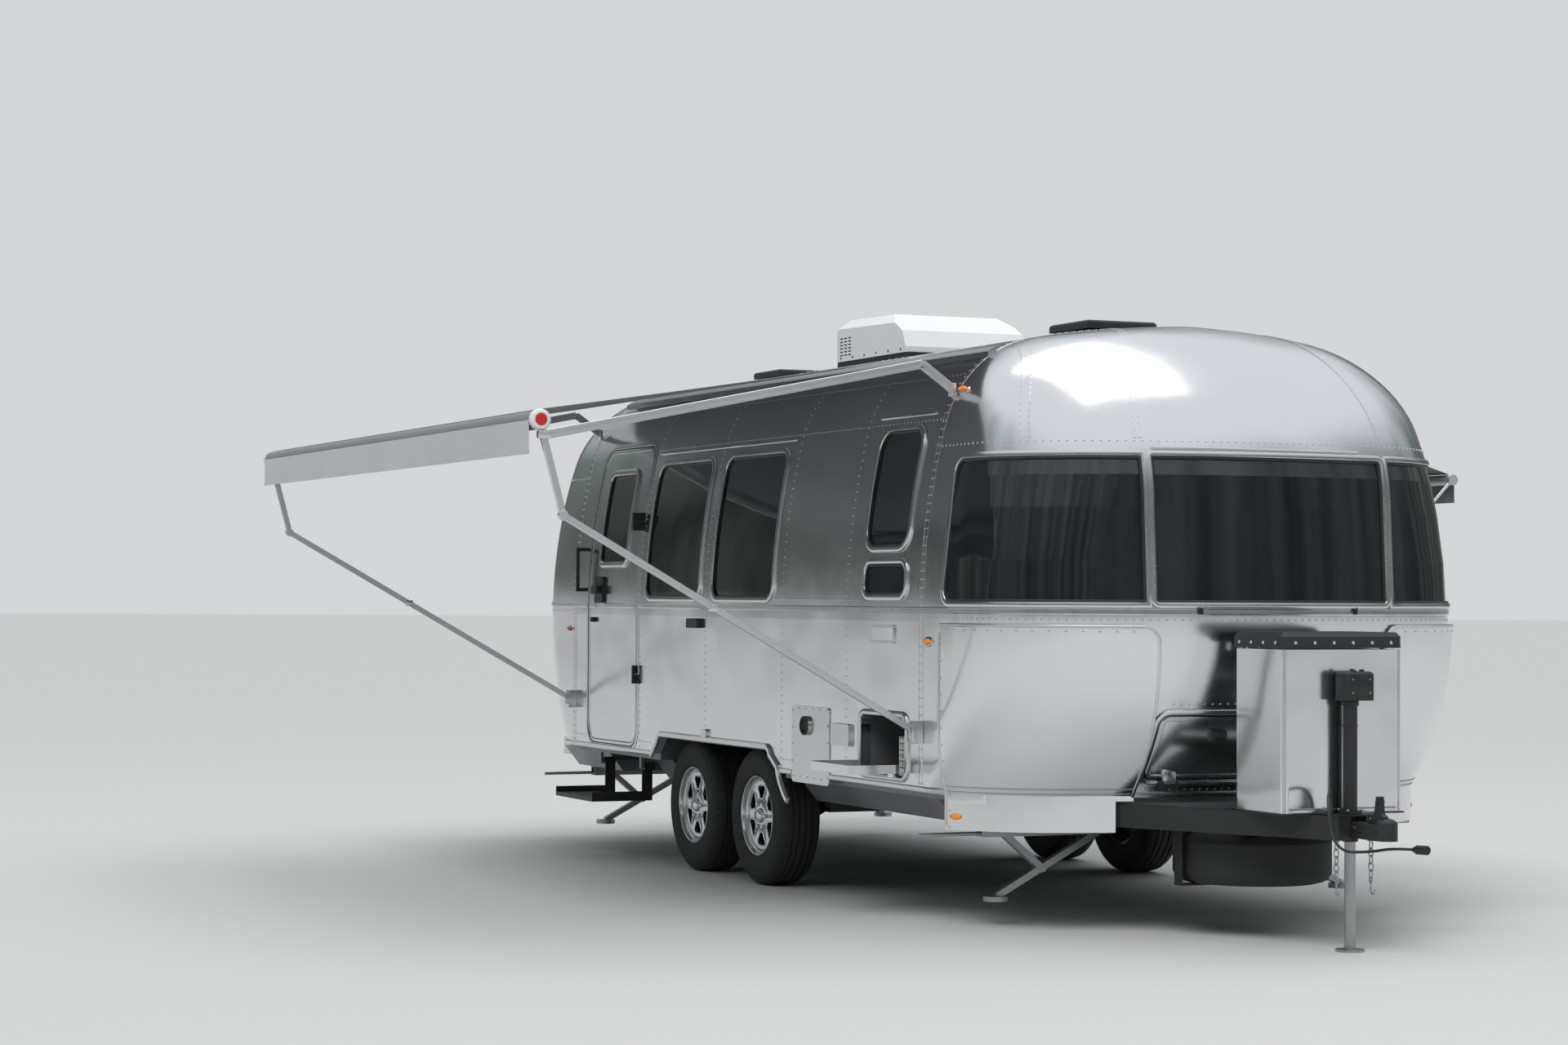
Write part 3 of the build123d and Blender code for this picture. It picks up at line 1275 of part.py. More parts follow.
# Furnace vent plate over the skirt, with its round outlet
with BuildPart() as furnace_vent:
    face = -HALF_WIDTH - SEAT_GAP
    with BuildSketch(Plane.XZ.offset(-face)) as vent:
        with Locations(((VENT_REAR + VENT_FRONT) / 2, up((VENT_FOOT + VENT_HEAD) / 2))):
            RectangleRounded(VENT_FRONT - VENT_REAR, VENT_HEAD - VENT_FOOT, 25.0)
    extrude(vent.sketch, amount=VENT_PLATE)
    with BuildSketch(Plane.XZ.offset(-face)) as outlet:
        with Locations((OUTLET_X, up(OUTLET_HEIGHT))):
            Circle(OUTLET_RADIUS)
    extrude(outlet.sketch, amount=VENT_PLATE + 16.0)
    with BuildSketch(Plane.XZ.offset(-face + VENT_PLATE)) as mouth:
        with Locations((OUTLET_X, up(OUTLET_HEIGHT))):
            Circle(OUTLET_RADIUS - 9.0)
    extrude(mouth.sketch, amount=20.0, mode=Mode.SUBTRACT)
save(furnace_vent, "furnace_vent")


def knuckle(leaf_x, z0, z1, web):
    """One side of a door hinge: curved leaf on the skin, web out to the axis, and the barrel."""
    reach = DOOR_AXIS_Y + half_width((z0 + z1) / 2)
    with BuildPart() as half_hinge:
        add(wall_patch(Window(CURB, leaf_x[0], leaf_x[1], z0, z1, 3.0), 0.0, -LEAF, -SEAT_GAP))
        add(wall_patch(Window(CURB, web[0], web[1], z0, z1, 2.0), 0.0, reach, -SEAT_GAP))
        rod((DOOR_AXIS_X, DOOR_AXIS_Y, z0), (DOOR_AXIS_X, DOOR_AXIS_Y, z1), KNUCKLE_RADIUS)
    return half_hinge.part


door_leaves = []
wall_leaves = []
for height in HINGE_HEIGHTS:
    door_leaves.append(
        knuckle(
            (DOOR_FRONT - MOVING_GAP - 36.0, DOOR_FRONT - MOVING_GAP),
            height + 1.0,
            height + KNUCKLE_LENGTH,
            (DOOR_AXIS_X - KNUCKLE_WEB, DOOR_AXIS_X - 0.5),
        )
    )
    wall_leaves.append(
        knuckle(
            (DOOR_FRONT, DOOR_FRONT + 36.0),
            height - KNUCKLE_LENGTH,
            height,
            (DOOR_AXIS_X + 0.5, DOOR_AXIS_X + KNUCKLE_WEB),
        )
    )

# Door: outer skin the full size, with a smaller liner behind it so that its edge swings clear
leaf_outline = Window(
    CURB,
    DOOR_REAR + DOOR_SWING_GAP,
    DOOR_FRONT - MOVING_GAP,
    DOOR_FOOT + MOVING_GAP,
    DOOR_HEAD - MOVING_GAP,
    DOOR_CORNER - MOVING_GAP,
)
door_skin = wall_patch(leaf_outline, 0.0, 0.0, DOOR_SKIN)
door_liner = wall_patch(leaf_outline, -DOOR_REBATE, DOOR_SKIN, WALL)
with BuildPart() as door:
    add(door_skin)
    add(door_liner)
    side_prism(
        CURB,
        DOOR_WINDOW.x0,
        DOOR_WINDOW.x1,
        DOOR_WINDOW.z0,
        DOOR_WINDOW.z1,
        DOOR_WINDOW.corner,
        Mode.SUBTRACT,
    )
save(door, "door")

door_pane = wall_patch(DOOR_WINDOW, -SEAT_GAP, GLASS_INSET, GLASS_INSET + GLASS)
with BuildPart() as door_glass:
    add(door_pane)
save(door_glass, "door_glass")

# Door handle, bumper, window frame and the door's side of its hinges
door_ring = window_ring(DOOR_WINDOW)
handle_plate = wall_patch(
    Window(CURB, HANDLE_X[0], HANDLE_X[1], HANDLE_Z[0], HANDLE_Z[1], 18.0),
    0.0,
    -16.0,
    -SEAT_GAP,
)
handle_grip = wall_patch(
    Window(CURB, HANDLE_X[0] + 30.0, HANDLE_X[1] - 20.0, HANDLE_Z[0] + 50.0, HANDLE_Z[1] - 50.0, 8.0),
    0.0,
    -48.0,
    -36.0,
)
with BuildPart() as door_fittings:
    add(door_ring)
    add(handle_plate)
    add(handle_grip)
    for x in (HANDLE_X[0] + 36.0, HANDLE_X[1] - 46.0):
        y = -half_width(HANDLE_Z[1]) - 44.0
        block((x, x + 20.0), (y, y + 34.0), (HANDLE_Z[0] + 56.0, HANDLE_Z[1] - 56.0))
    bumper_y = -HALF_WIDTH - SEAT_GAP
    rod((DOOR_BUMPER_X, bumper_y, DOOR_BUMPER_Z), (DOOR_BUMPER_X, bumper_y - 22.0, DOOR_BUMPER_Z), 14.0)
    for leaf in door_leaves:
        add(leaf)
    for height in HINGE_HEIGHTS:
        rod(
            (DOOR_AXIS_X, DOOR_AXIS_Y, height - 5.0),
            (DOOR_AXIS_X, DOOR_AXIS_Y, height + KNUCKLE_LENGTH + 5.0),
            HINGE_PIN + SPINDLE_PLAY,
            Mode.SUBTRACT,
        )
save(door_fittings, "door_fittings")

# Fittings on the walls: hinge leaves with pins, hatch ears, hold-back, plates, inlet and grab handle
small_plates = [
    wall_patch(Window(CURB, plate[0], plate[1], plate[2], plate[3], 8.0), 0.0, -plate[4], -SEAT_GAP)
    for plate in WALL_PLATES
]
with BuildPart() as wall_fittings:
    for leaf in wall_leaves:
        add(leaf)
    for height in HINGE_HEIGHTS:
        rod(
            (DOOR_AXIS_X, DOOR_AXIS_Y, height - 5.0),
            (DOOR_AXIS_X, DOOR_AXIS_Y, height + KNUCKLE_LENGTH - 2.0),
            HINGE_PIN,
        )
    add(hatch_ears.part)
    for plate in small_plates:
        add(plate)
    for x in LOCKER_HINGES:
        for way in (-1, 1):
            ear = sorted((x + way * 27.0, x + way * 33.0))
            reach = (LOCKER_AXIS_Y - 5.0, -HALF_WIDTH - SEAT_GAP)
            block(ear, reach, (LOCKER_AXIS_Z - 6.0, LOCKER_AXIS_Z + 4.0))
        rod((x - 33.0, LOCKER_AXIS_Y, LOCKER_AXIS_Z), (x + 33.0, LOCKER_AXIS_Y, LOCKER_AXIS_Z), PIN_RADIUS)
    grab_out = -half_width(GRAB_Z[1]) - GRAB_REACH
    for height in GRAB_Z:
        rod((GRAB_X, -half_width(height) - SEAT_GAP - 0.5, height), (GRAB_X, grab_out, height), GRAB_RADIUS)
    rod((GRAB_X, grab_out, GRAB_Z[0] - GRAB_RADIUS), (GRAB_X, grab_out, GRAB_Z[1] + GRAB_RADIUS), GRAB_RADIUS)
save(wall_fittings, "wall_fittings")


def skin_lamp(x, side, height, length, depth, proud):
    """Lens block square to the skin."""
    y = half_width(height)
    if height > WALL_CENTRE[1] + WALL_RADIUS * sin(LEAN):
        lean = asin((height - SHOULDER_CENTRE[1]) / SHOULDER_RADIUS)
    else:
        lean = 0.0
    out = (0, side * cos(lean), sin(lean))
    base = (x, side * (y + SEAT_GAP * cos(lean)), up(height) + SEAT_GAP * sin(lean))
    with BuildSketch(Plane(origin=base, x_dir=(1, 0, 0), z_dir=out)) as lens:
        RectangleRounded(length, depth, depth * 0.3)
    extrude(lens.sketch, amount=proud)


# Marker lamps: amber at the front, red at the rear
with BuildPart() as amber_lamps:
    for side in (CURB, STREET):
        skin_lamp(LAMP_FRONT_X, side, LAMP_TOP, 92.0, 30.0, 22.0)
        skin_lamp(LAMP_FRONT_X, side, LAMP_SIDE, 84.0, 34.0, 20.0)
save(amber_lamps, "amber_lamps")
with BuildPart() as red_lamps:
    for side in (CURB, STREET):
        skin_lamp(LAMP_REAR_X, side, LAMP_TOP, 92.0, 30.0, 22.0)
        skin_lamp(LAMP_REAR_X, side, LAMP_SIDE, 84.0, 34.0, 20.0)
save(red_lamps, "red_lamps")

# Bases on the roof, their undersides following it
with BuildPart() as roof_skin:
    with BuildSketch(Plane.YZ.offset(AWNING_REAR)) as under:
        draw_section(-SEAT_GAP, SKIRT)
    extrude(under.sketch, amount=AWNING_FRONT - AWNING_REAR)
with BuildPart() as roof_bases:
    block((UNIT_REAR - 15.0, UNIT_FRONT + 15.0), (-UNIT_HALF + 10.0, UNIT_HALF - 10.0), (BASE_FOOT, BASE_TOP))
    for x in VENT_CENTRES:
        block((x - VENT_HALF, x + VENT_HALF), (-VENT_HALF, VENT_HALF), (BASE_FOOT, BASE_TOP))
        block(
            (x - VENT_HALF + 14.0, x + VENT_HALF - 14.0),
            (-VENT_HALF + 14.0, VENT_HALF - 14.0),
            (BASE_FOOT, BASE_TOP + 1.0),
            Mode.SUBTRACT,
        )
        axis_x = x - VENT_HALF - 12.0
        for way in (-1, 1):
            ear = sorted((way * 32.0, way * 38.0))
            block((axis_x - 7.0, x - VENT_HALF + 1.0), ear, (BASE_FOOT, BASE_TOP + 5.0))
        rod((axis_x, -38.0, BASE_TOP), (axis_x, 38.0, BASE_TOP), PIN_RADIUS)
    add(roof_skin.part, mode=Mode.SUBTRACT)
save(roof_bases, "roof_bases")

for x, place in zip(VENT_CENTRES, ("front", "rear")):
    with BuildPart() as vent_lid:
        foot = BASE_TOP + MOVING_GAP
        block(
            (x - VENT_HALF - 4.0, x + VENT_HALF + 8.0),
            (-VENT_HALF - 8.0, VENT_HALF + 8.0),
            (foot, foot + LID_RISE),
        )
        fillet(vent_lid.faces().sort_by(Axis.Z)[-1].edges(), 16.0)
        axis_x = x - VENT_HALF - 12.0
        block((axis_x, x - VENT_HALF + 2.0), (-30.0, 30.0), (foot, foot + 6.0))
        block((axis_x - 6.0, axis_x + 4.0), (-30.0, 30.0), (BASE_TOP, foot + 6.0))
        pierced_barrel((axis_x, -30.0, BASE_TOP), (axis_x, 30.0, BASE_TOP), 6.0)
    save(vent_lid, f"vent_lid_{place}")

# Roof air conditioner, its hood faceted along both sides, with louvres at the rear corners
with BuildPart() as roof_unit:
    with BuildSketch(Plane.XZ.offset(-UNIT_HALF)) as shroud:
        with BuildLine():
            Polyline(
                (UNIT_REAR, up(BASE_TOP + SEAT_GAP)),
                (UNIT_REAR, up(UNIT_TOP - 60.0)),
                (UNIT_REAR + 70.0, up(UNIT_TOP)),
                (UNIT_FRONT - 230.0, up(UNIT_TOP - 12.0)),
                (UNIT_FRONT - 40.0, up(UNIT_TOP - 110.0)),
                (UNIT_FRONT, up(BASE_TOP + 30.0)),
                (UNIT_FRONT, up(BASE_TOP + SEAT_GAP)),
                close=True,
            )
        make_face()
    extrude(shroud.sketch, amount=2 * UNIT_HALF)
    slanted = roof_unit.edges().filter_by(Axis.X, reverse=True).filter_by(Axis.Y, reverse=True)
    chamfer(slanted.group_by(Axis.Z)[-1], UNIT_FACET)
    for side in (CURB, STREET):
        with BuildSketch(Plane.XZ.offset(-side * (UNIT_HALF + 1.0))) as louvres:
            with Locations((LOUVRE_CENTRE[0], up(LOUVRE_CENTRE[1]))):
                with GridLocations(*LOUVRE_PITCH, *LOUVRE_GRID):
                    Rectangle(*LOUVRE_SLOT)
        extrude(louvres.sketch, amount=side * (LOUVRE_DEPTH + 1.0), mode=Mode.SUBTRACT)
save(roof_unit, "roof_unit")

# Awning rail along the shoulder
with BuildPart() as awning_rail:
    with BuildSketch(Plane.YZ.offset(AWNING_REAR)) as rail_section:
        draw_section(-AWNING_RAIL_RISE, SKIRT)
        draw_section(-SEAT_GAP, SKIRT - REVEAL, mode=Mode.SUBTRACT)
        with Locations((AWNING_RAIL_Y, up(CROWN))):
            Rectangle(AWNING_RAIL_WIDTH, 2 * (CROWN - BELT), mode=Mode.INTERSECT)
    extrude(rail_section.sketch, amount=AWNING_FRONT - AWNING_REAR)
save(awning_rail, "awning_rail")

# Awning roller with its end caps
roller_ends = (AWNING_REAR + END_CAP_WIDTH, AWNING_FRONT - END_CAP_WIDTH)
with BuildPart() as awning_roller:
    rod(
        (roller_ends[0], ROLLER_Y, ROLLER_HEIGHT),
        (roller_ends[1], ROLLER_Y, ROLLER_HEIGHT),
        ROLLER_RADIUS,
    )
    for end, way in ((roller_ends[0], -1), (roller_ends[1], 1)):
        rod(
            (end, ROLLER_Y, ROLLER_HEIGHT),
            (end + way * END_CAP_WIDTH, ROLLER_Y, ROLLER_HEIGHT),
            END_CAP_RADIUS,
        )
save(awning_roller, "awning_roller")

# Awning fabric: sloping canopy from rail to roller, and the valance below the roller
rail_radius = SHOULDER_RADIUS + AWNING_RAIL_RISE
rail_top = up(SHOULDER_CENTRE[1] + sqrt(rail_radius**2 - (AWNING_RAIL_Y + SHOULDER_CENTRE[0]) ** 2))
with BuildPart() as awning_canopy:
    with BuildSketch(Plane.YZ.offset(roller_ends[0] + 4.0)) as canopy:
        with BuildLine():
            Polyline(
                (AWNING_RAIL_Y - 12.0, rail_top + 12.0),
                (ROLLER_Y, up(ROLLER_HEIGHT + ROLLER_RADIUS) + 0.5),
                (ROLLER_Y, up(ROLLER_HEIGHT + ROLLER_RADIUS) + 0.5 + CANOPY),
                (AWNING_RAIL_Y - 12.0, rail_top + 12.0 + CANOPY),
                close=True,
            )
        make_face()
    extrude(canopy.sketch, amount=roller_ends[1] - roller_ends[0] - 8.0)
    valance_y = ROLLER_Y - ROLLER_RADIUS - 0.5
    block(
        (roller_ends[0] + 4.0, roller_ends[1] - 4.0),
        (valance_y - 4.0, valance_y),
        (ROLLER_HEIGHT - ROLLER_RADIUS - VALANCE_DROP, ROLLER_HEIGHT),
    )
save(awning_canopy, "awning_canopy")

# Awning arms, rafters and brackets at both ends
with BuildPart() as awning_arms:
    for x, way in ((AWNING_FRONT - END_CAP_WIDTH / 2, -1), (AWNING_REAR + END_CAP_WIDTH / 2, 1)):
        hub = (x, ROLLER_Y + 12.0, ROLLER_HEIGHT - END_CAP_RADIUS - ARM_RADIUS)
        rod((x, ARM_FOOT[0], ARM_FOOT[1]), (x, ARM_BEND[0], ARM_BEND[1]), ARM_RADIUS)
        rod((x, ARM_BEND[0], ARM_BEND[1]), hub, ARM_RADIUS)
        rod((x - 12.0, ARM_BEND[0], ARM_BEND[1]), (x + 12.0, ARM_BEND[0], ARM_BEND[1]), ARM_RADIUS + 8.0)
        rod(hub, (x, ROLLER_Y + 8.0, ROLLER_HEIGHT - END_CAP_RADIUS - SEAT_GAP), ARM_RADIUS)
        rafter_end = (x, ROLLER_Y + 40.0, ROLLER_HEIGHT - END_CAP_RADIUS - ARM_RADIUS)
        rod(rafter_end, (x, RAFTER_TOP[0], RAFTER_TOP[1]), RAFTER_RADIUS)
        rod(rafter_end, hub, RAFTER_RADIUS)
        rod((x, RAFTER_TOP[0], RAFTER_TOP[1]), (x, RAFTER_FOOT[0], RAFTER_FOOT[1]), RAFTER_RADIUS)
        block(
            (x - 22.0, x + 22.0),
            (ARM_FOOT[0] - 12.0, -HALF_WIDTH - SEAT_GAP),
            (ARM_FOOT[1] - 60.0, ARM_FOOT[1] + 40.0),
        )
        block(
            (x - 20.0, x + 20.0),
            (RAFTER_FOOT[0] - 16.0, RAFTER_FOOT[0] + 6.0),
            (RAFTER_FOOT[1] - 30.0, RAFTER_FOOT[1] + 30.0),
        )
save(awning_arms, "awning_arms")

# Window awning on the street side
with BuildPart() as window_awning_frame:
    block(
        SMALL_AWNING_X,
        (half_width(SMALL_AWNING_TOP) + SEAT_GAP + 3.0, half_width(SMALL_AWNING_TOP) + 22.0),
        (SMALL_AWNING_TOP, SMALL_AWNING_TOP + 20.0),
    )
    rod((SMALL_AWNING_X[0], *SMALL_ROLLER), (SMALL_AWNING_X[1], *SMALL_ROLLER), SMALL_ROLLER_RADIUS)
    for x in (SMALL_AWNING_X[0] + 15.0, SMALL_AWNING_X[1] - 15.0):
        rod((x, *SMALL_ROLLER), (x, *SMALL_ARM_FOOT), 8.0)
        block(
            (x - 15.0, x + 15.0),
            (half_width(SMALL_ARM_FOOT[1] - 30.0) + SEAT_GAP, SMALL_ARM_FOOT[0] + 10.0),
            (SMALL_ARM_FOOT[1] - 30.0, SMALL_ARM_FOOT[1] + 30.0),
        )
save(window_awning_frame, "window_awning_frame")
with BuildPart() as window_awning_canopy:
    with BuildSketch(Plane.YZ.offset(SMALL_AWNING_X[0] + 35.0)) as small_canopy:
        with BuildLine():
            Polyline(
                (half_width(SMALL_AWNING_TOP) + 22.5, up(SMALL_AWNING_TOP + 14.0)),
                (SMALL_ROLLER[0], up(SMALL_ROLLER[1] + SMALL_ROLLER_RADIUS + 0.5)),
                (SMALL_ROLLER[0], up(SMALL_ROLLER[1] + SMALL_ROLLER_RADIUS + 0.5 + CANOPY)),
                (half_width(SMALL_AWNING_TOP) + 22.5, up(SMALL_AWNING_TOP + 14.0 + CANOPY)),
                close=True,
            )
        make_face()
    extrude(small_canopy.sketch, amount=SMALL_AWNING_X[1] - SMALL_AWNING_X[0] - 70.0)
    hang = SMALL_ROLLER[0] + SMALL_ROLLER_RADIUS + 0.5
    block(
        (SMALL_AWNING_X[0] + 35.0, SMALL_AWNING_X[1] - 35.0),
        (hang, hang + 4.0),
        (SMALL_ROLLER[1] - 110.0, SMALL_ROLLER[1]),
    )
save(window_awning_canopy, "window_awning_canopy")

# Stabilisers: channel, leg and strut at each corner, wound most of the way up
with BuildPart() as stabilisers:
    for x, seat in ((STABILISER_FRONT, FLOOR_FOOT - RAIL_DEPTH), (STABILISER_REAR, PAN_FOOT)):
        for side in (CURB, STREET):
            channel = sorted((side * STABILISER_Y[0], side * STABILISER_Y[1]))
            top = PAN_FOOT - SEAT_GAP
            block((x - 30.0, x + 30.0), channel, (top - 6.0, top))
            for edge in (-30.0, 25.0):
                block((x + edge, x + edge + 5.0), channel, (top - 55.0, top))
            if seat > PAN_FOOT:
                pad = sorted((side * (rail_y(x) - 25.0), side * (rail_y(x) + 25.0)))
                block((x - 30.0, x + 30.0), pad, (top - 2.0, seat - SEAT_GAP))
            with BuildSketch(Plane.YZ.offset(x - 18.0)) as leg:
                for start, end in ((LEG_PIVOT, LEG_FOOT), (STRUT_NUT, LEG_PIN)):
                    with BuildLine() as line:
                        Line((side * start[0], up(start[1])), (side * end[0], up(end[1])))
                    trace(line.line, line_width=30.0)
                for point in (LEG_PIVOT, LEG_PIN, STRUT_NUT):
                    with Locations((side * point[0], up(point[1]))):
                        Circle(17.0)
            extrude(leg.sketch, amount=36.0)
            rod((x, side * LEG_FOOT[0], LEG_FOOT[1] - 22.0), (x, side * LEG_FOOT[0], LEG_FOOT[1]), 55.0)
            for pivot in (LEG_PIVOT, STRUT_NUT):
                rod((x - 30.0, side * pivot[0], pivot[1]), (x + 30.0, side * pivot[0], pivot[1]), 9.0)
            rod((x, side * LEG_PIVOT[0], LEG_PIVOT[1]), (x, side * STABILISER_SCREW, LEG_PIVOT[1]), 9.0)
save(stabilisers, "stabilisers")

# Rear bumper bar on two brackets from the pan
with BuildPart() as rear_bumper:
    block((BUMPER_X[0], BUMPER_X[1]), (-BUMPER_HALF, BUMPER_HALF), BUMPER_Z)
    fillet(rear_bumper.edges().filter_by(Axis.Z), 20.0)
    for side in (CURB, STREET):
        y = sorted((side * 420.0, side * 480.0))
        block((BUMPER_X[1] - 10.0, PAN_REAR - SEAT_GAP), y, (BUMPER_Z[0] + 10.0, BUMPER_Z[1] - 40.0))
save(rear_bumper, "rear_bumper")

# Safety chains hanging beside the coupler, each link across the last
with BuildPart() as safety_chains:
    for side in (CURB, STREET):
        y = side * CHAIN_Y
        block(
            (CHAIN_X - 12.0, CHAIN_X + 12.0),
            (y - 12.0, y + 12.0),
            (CHAIN_TOP - 6.0, FLOOR_FOOT - RAIL_DEPTH - SEAT_GAP),
        )
        for link in range(CHAIN_LINKS):
            centre_z = CHAIN_TOP - CHAIN_LENGTH / 2 - 2.0 - link * CHAIN_PITCH
            plane, along = Plane.XZ.offset(-y - CHAIN_WIRE / 2), CHAIN_X
            if link % 2:
                plane, along = Plane.YZ.offset(CHAIN_X - CHAIN_WIRE / 2), y
            with BuildSketch(plane) as ring:
                with Locations((along, up(centre_z))):
                    RectangleRounded(CHAIN_WIDTH, CHAIN_LENGTH, CHAIN_WIDTH / 2 - 0.1)
                    RectangleRounded(
                        CHAIN_WIDTH - 2 * CHAIN_WIRE,
                        CHAIN_LENGTH - 2 * CHAIN_WIRE,
                        CHAIN_WIDTH / 2 - CHAIN_WIRE - 0.1,
                        mode=Mode.SUBTRACT,
                    )
            extrude(ring.sketch, amount=CHAIN_WIRE)
save(safety_chains, "safety_chains")

# Tow cable: a drooping loop beside the jack, ending in its plug
with BuildPart() as tow_cable:
    with BuildLine() as cable_route:
        FilletPolyline(
            *[(x, y, up(height)) for x, y, height in CABLE_POINTS],
            radius=CABLE_BEND,
        )
    with BuildSketch(Plane(origin=cable_route.line @ 0, z_dir=cable_route.line % 0)):
        Circle(CABLE_RADIUS)
    sweep()
save(tow_cable, "tow_cable")

with BuildPart() as tow_plug:
    end = cable_route.line @ 1
    along = cable_route.line % 1
    with BuildSketch(Plane(origin=end, z_dir=along)) as gland:
        Circle(CABLE_RADIUS + 5.0)
    extrude(gland.sketch, amount=22.0)
    with BuildSketch(Plane(origin=end + along * 22.0, z_dir=along)) as body:
        Circle(PLUG_RADIUS)
    extrude(body.sketch, amount=PLUG_LENGTH)
save(tow_plug, "tow_plug")
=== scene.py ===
"""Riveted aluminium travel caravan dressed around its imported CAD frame. Metres, in the part's frame."""

import json
from math import acos, asin, atan2, cos, dist, hypot, pi, radians, sin, sqrt, tan

import bmesh
import bpy
import numpy as np
from mathutils import Matrix, Vector


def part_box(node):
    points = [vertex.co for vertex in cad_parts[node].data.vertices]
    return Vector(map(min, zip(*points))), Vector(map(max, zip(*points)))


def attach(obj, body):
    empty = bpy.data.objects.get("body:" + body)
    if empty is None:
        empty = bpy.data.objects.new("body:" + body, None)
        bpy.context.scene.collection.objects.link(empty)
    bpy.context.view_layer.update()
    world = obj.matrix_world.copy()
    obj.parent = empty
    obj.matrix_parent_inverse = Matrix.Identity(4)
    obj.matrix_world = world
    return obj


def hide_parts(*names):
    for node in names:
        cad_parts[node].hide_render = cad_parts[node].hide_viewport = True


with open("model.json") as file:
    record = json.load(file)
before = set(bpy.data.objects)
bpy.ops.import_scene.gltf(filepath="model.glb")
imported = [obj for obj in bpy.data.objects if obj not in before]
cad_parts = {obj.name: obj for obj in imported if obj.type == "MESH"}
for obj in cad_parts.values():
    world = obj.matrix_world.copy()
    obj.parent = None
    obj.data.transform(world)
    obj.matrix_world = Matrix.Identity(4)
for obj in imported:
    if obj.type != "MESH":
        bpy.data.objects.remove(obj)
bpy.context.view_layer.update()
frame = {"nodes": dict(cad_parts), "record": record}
nodes = frame["nodes"]
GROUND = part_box("jack_leg")[0][2]
CURB, STREET = -1, 1
SIDES = (CURB, STREET)
TURN = 2 * pi
ALONG, ACROSS, UP = np.eye(3)

# Body shell, as the solids have it
HALF_WIDTH, SKIRT, BELT, ROOF_SEAM, CROWN = 1.22, 0.6, 1.4, 2.48, 2.7
WALL_SPRING, WALL_RADIUS, SHOULDER_RADIUS, ROOF_RADIUS = 1.35, 3.64, 0.55, 3.7
WALL = 0.048
WELD, CAP_WELD = 1e-6, 1e-5
FRONT_SEAM, REAR_SEAM = -1.822, -6.382
NOSE_RADIUS, NOSE_LEAN, PLAN_RATIO = 0.85, 0.025, 2.08
CAPS = {
    "front": dict(seam=FRONT_SEAM, way=1, reach=1.037, straight=0.346, tuck=0.33),
    "rear": dict(seam=REAR_SEAM, way=-1, reach=0.9, straight=0.33, tuck=0.29),
}
NOSE_NEAR, NOSE_FAR = FRONT_SEAM + 0.2, FRONT_SEAM + 1.3


def centres():
    """Centres of the wall, shoulder and roof arcs, as (y, height)."""
    wall = np.array([HALF_WIDTH - WALL_RADIUS, WALL_SPRING])
    roof = np.array([0.0, CROWN - ROOF_RADIUS])
    a, b = WALL_RADIUS - SHOULDER_RADIUS, ROOF_RADIUS - SHOULDER_RADIUS
    span = np.hypot(*(roof - wall))
    along = (a * a - b * b + span * span) / (2 * span)
    across = sqrt(a * a - along * along)
    step = (roof - wall) / span
    return wall, wall + along * step + across * np.array([-step[1], step[0]]), roof


WALL_C, SHOULDER_C, ROOF_C = centres()
LEAN = asin((SHOULDER_C[1] - WALL_SPRING) / (WALL_RADIUS - SHOULDER_RADIUS))
RISE = atan2(SHOULDER_C[1] - ROOF_C[1], SHOULDER_C[0])


def half_width(h, inset=0.0):
    """Half width of the body at heights h above the ground."""
    h = np.asarray(h, float)

    def arc(c, r):
        return c[0] + np.sqrt(np.maximum(0.0, (r - inset) ** 2 - (h - c[1]) ** 2))

    wall_end = WALL_SPRING + (WALL_RADIUS - inset) * sin(LEAN)
    shoulder_end = ROOF_C[1] + (ROOF_RADIUS - inset) * sin(RISE)
    top = np.where(h <= shoulder_end, arc(SHOULDER_C, SHOULDER_RADIUS), arc(ROOF_C, ROOF_RADIUS))
    above = np.where(h <= wall_end, arc(WALL_C, WALL_RADIUS), top)
    return np.where(h <= WALL_SPRING, HALF_WIDTH - inset, above)


def plan(cap, h, inset=0.0):
    """Reach, straight run, half width, corner radius and nose radius of an end cap's slices."""
    c = CAPS[cap]
    h = np.asarray(h, float)
    bend_radius = ((BELT - SKIRT) ** 2 + c["tuck"] ** 2) / (2 * c["tuck"])
    tuck = bend_radius - np.sqrt(bend_radius**2 - np.maximum(0.0, BELT - h) ** 2)
    spring = CROWN - NOSE_RADIUS
    brow = np.sqrt(np.maximum(0.0, (NOSE_RADIUS - inset) ** 2 - np.maximum(0.0, h - spring) ** 2))
    leaning = c["reach"] - inset - NOSE_LEAN * (h - BELT) / (spring - BELT)
    upper = np.where(h < spring, leaning, c["reach"] - NOSE_LEAN - NOSE_RADIUS + brow)
    reach = np.where(h < BELT, c["reach"] - inset - tuck, upper)
    half = np.maximum(half_width(h, inset), 0.004)
    skin = half + inset
    straight = c["straight"] * (skin / HALF_WIDTH) ** 4 - tuck
    run = reach - straight
    nose = np.where(run > half, 0.9 * half**2 / run, PLAN_RATIO * skin - inset)
    corner = (2 * run * nose - run**2 - half**2) / (2 * (nose - half))
    return reach, straight, half, corner, nose


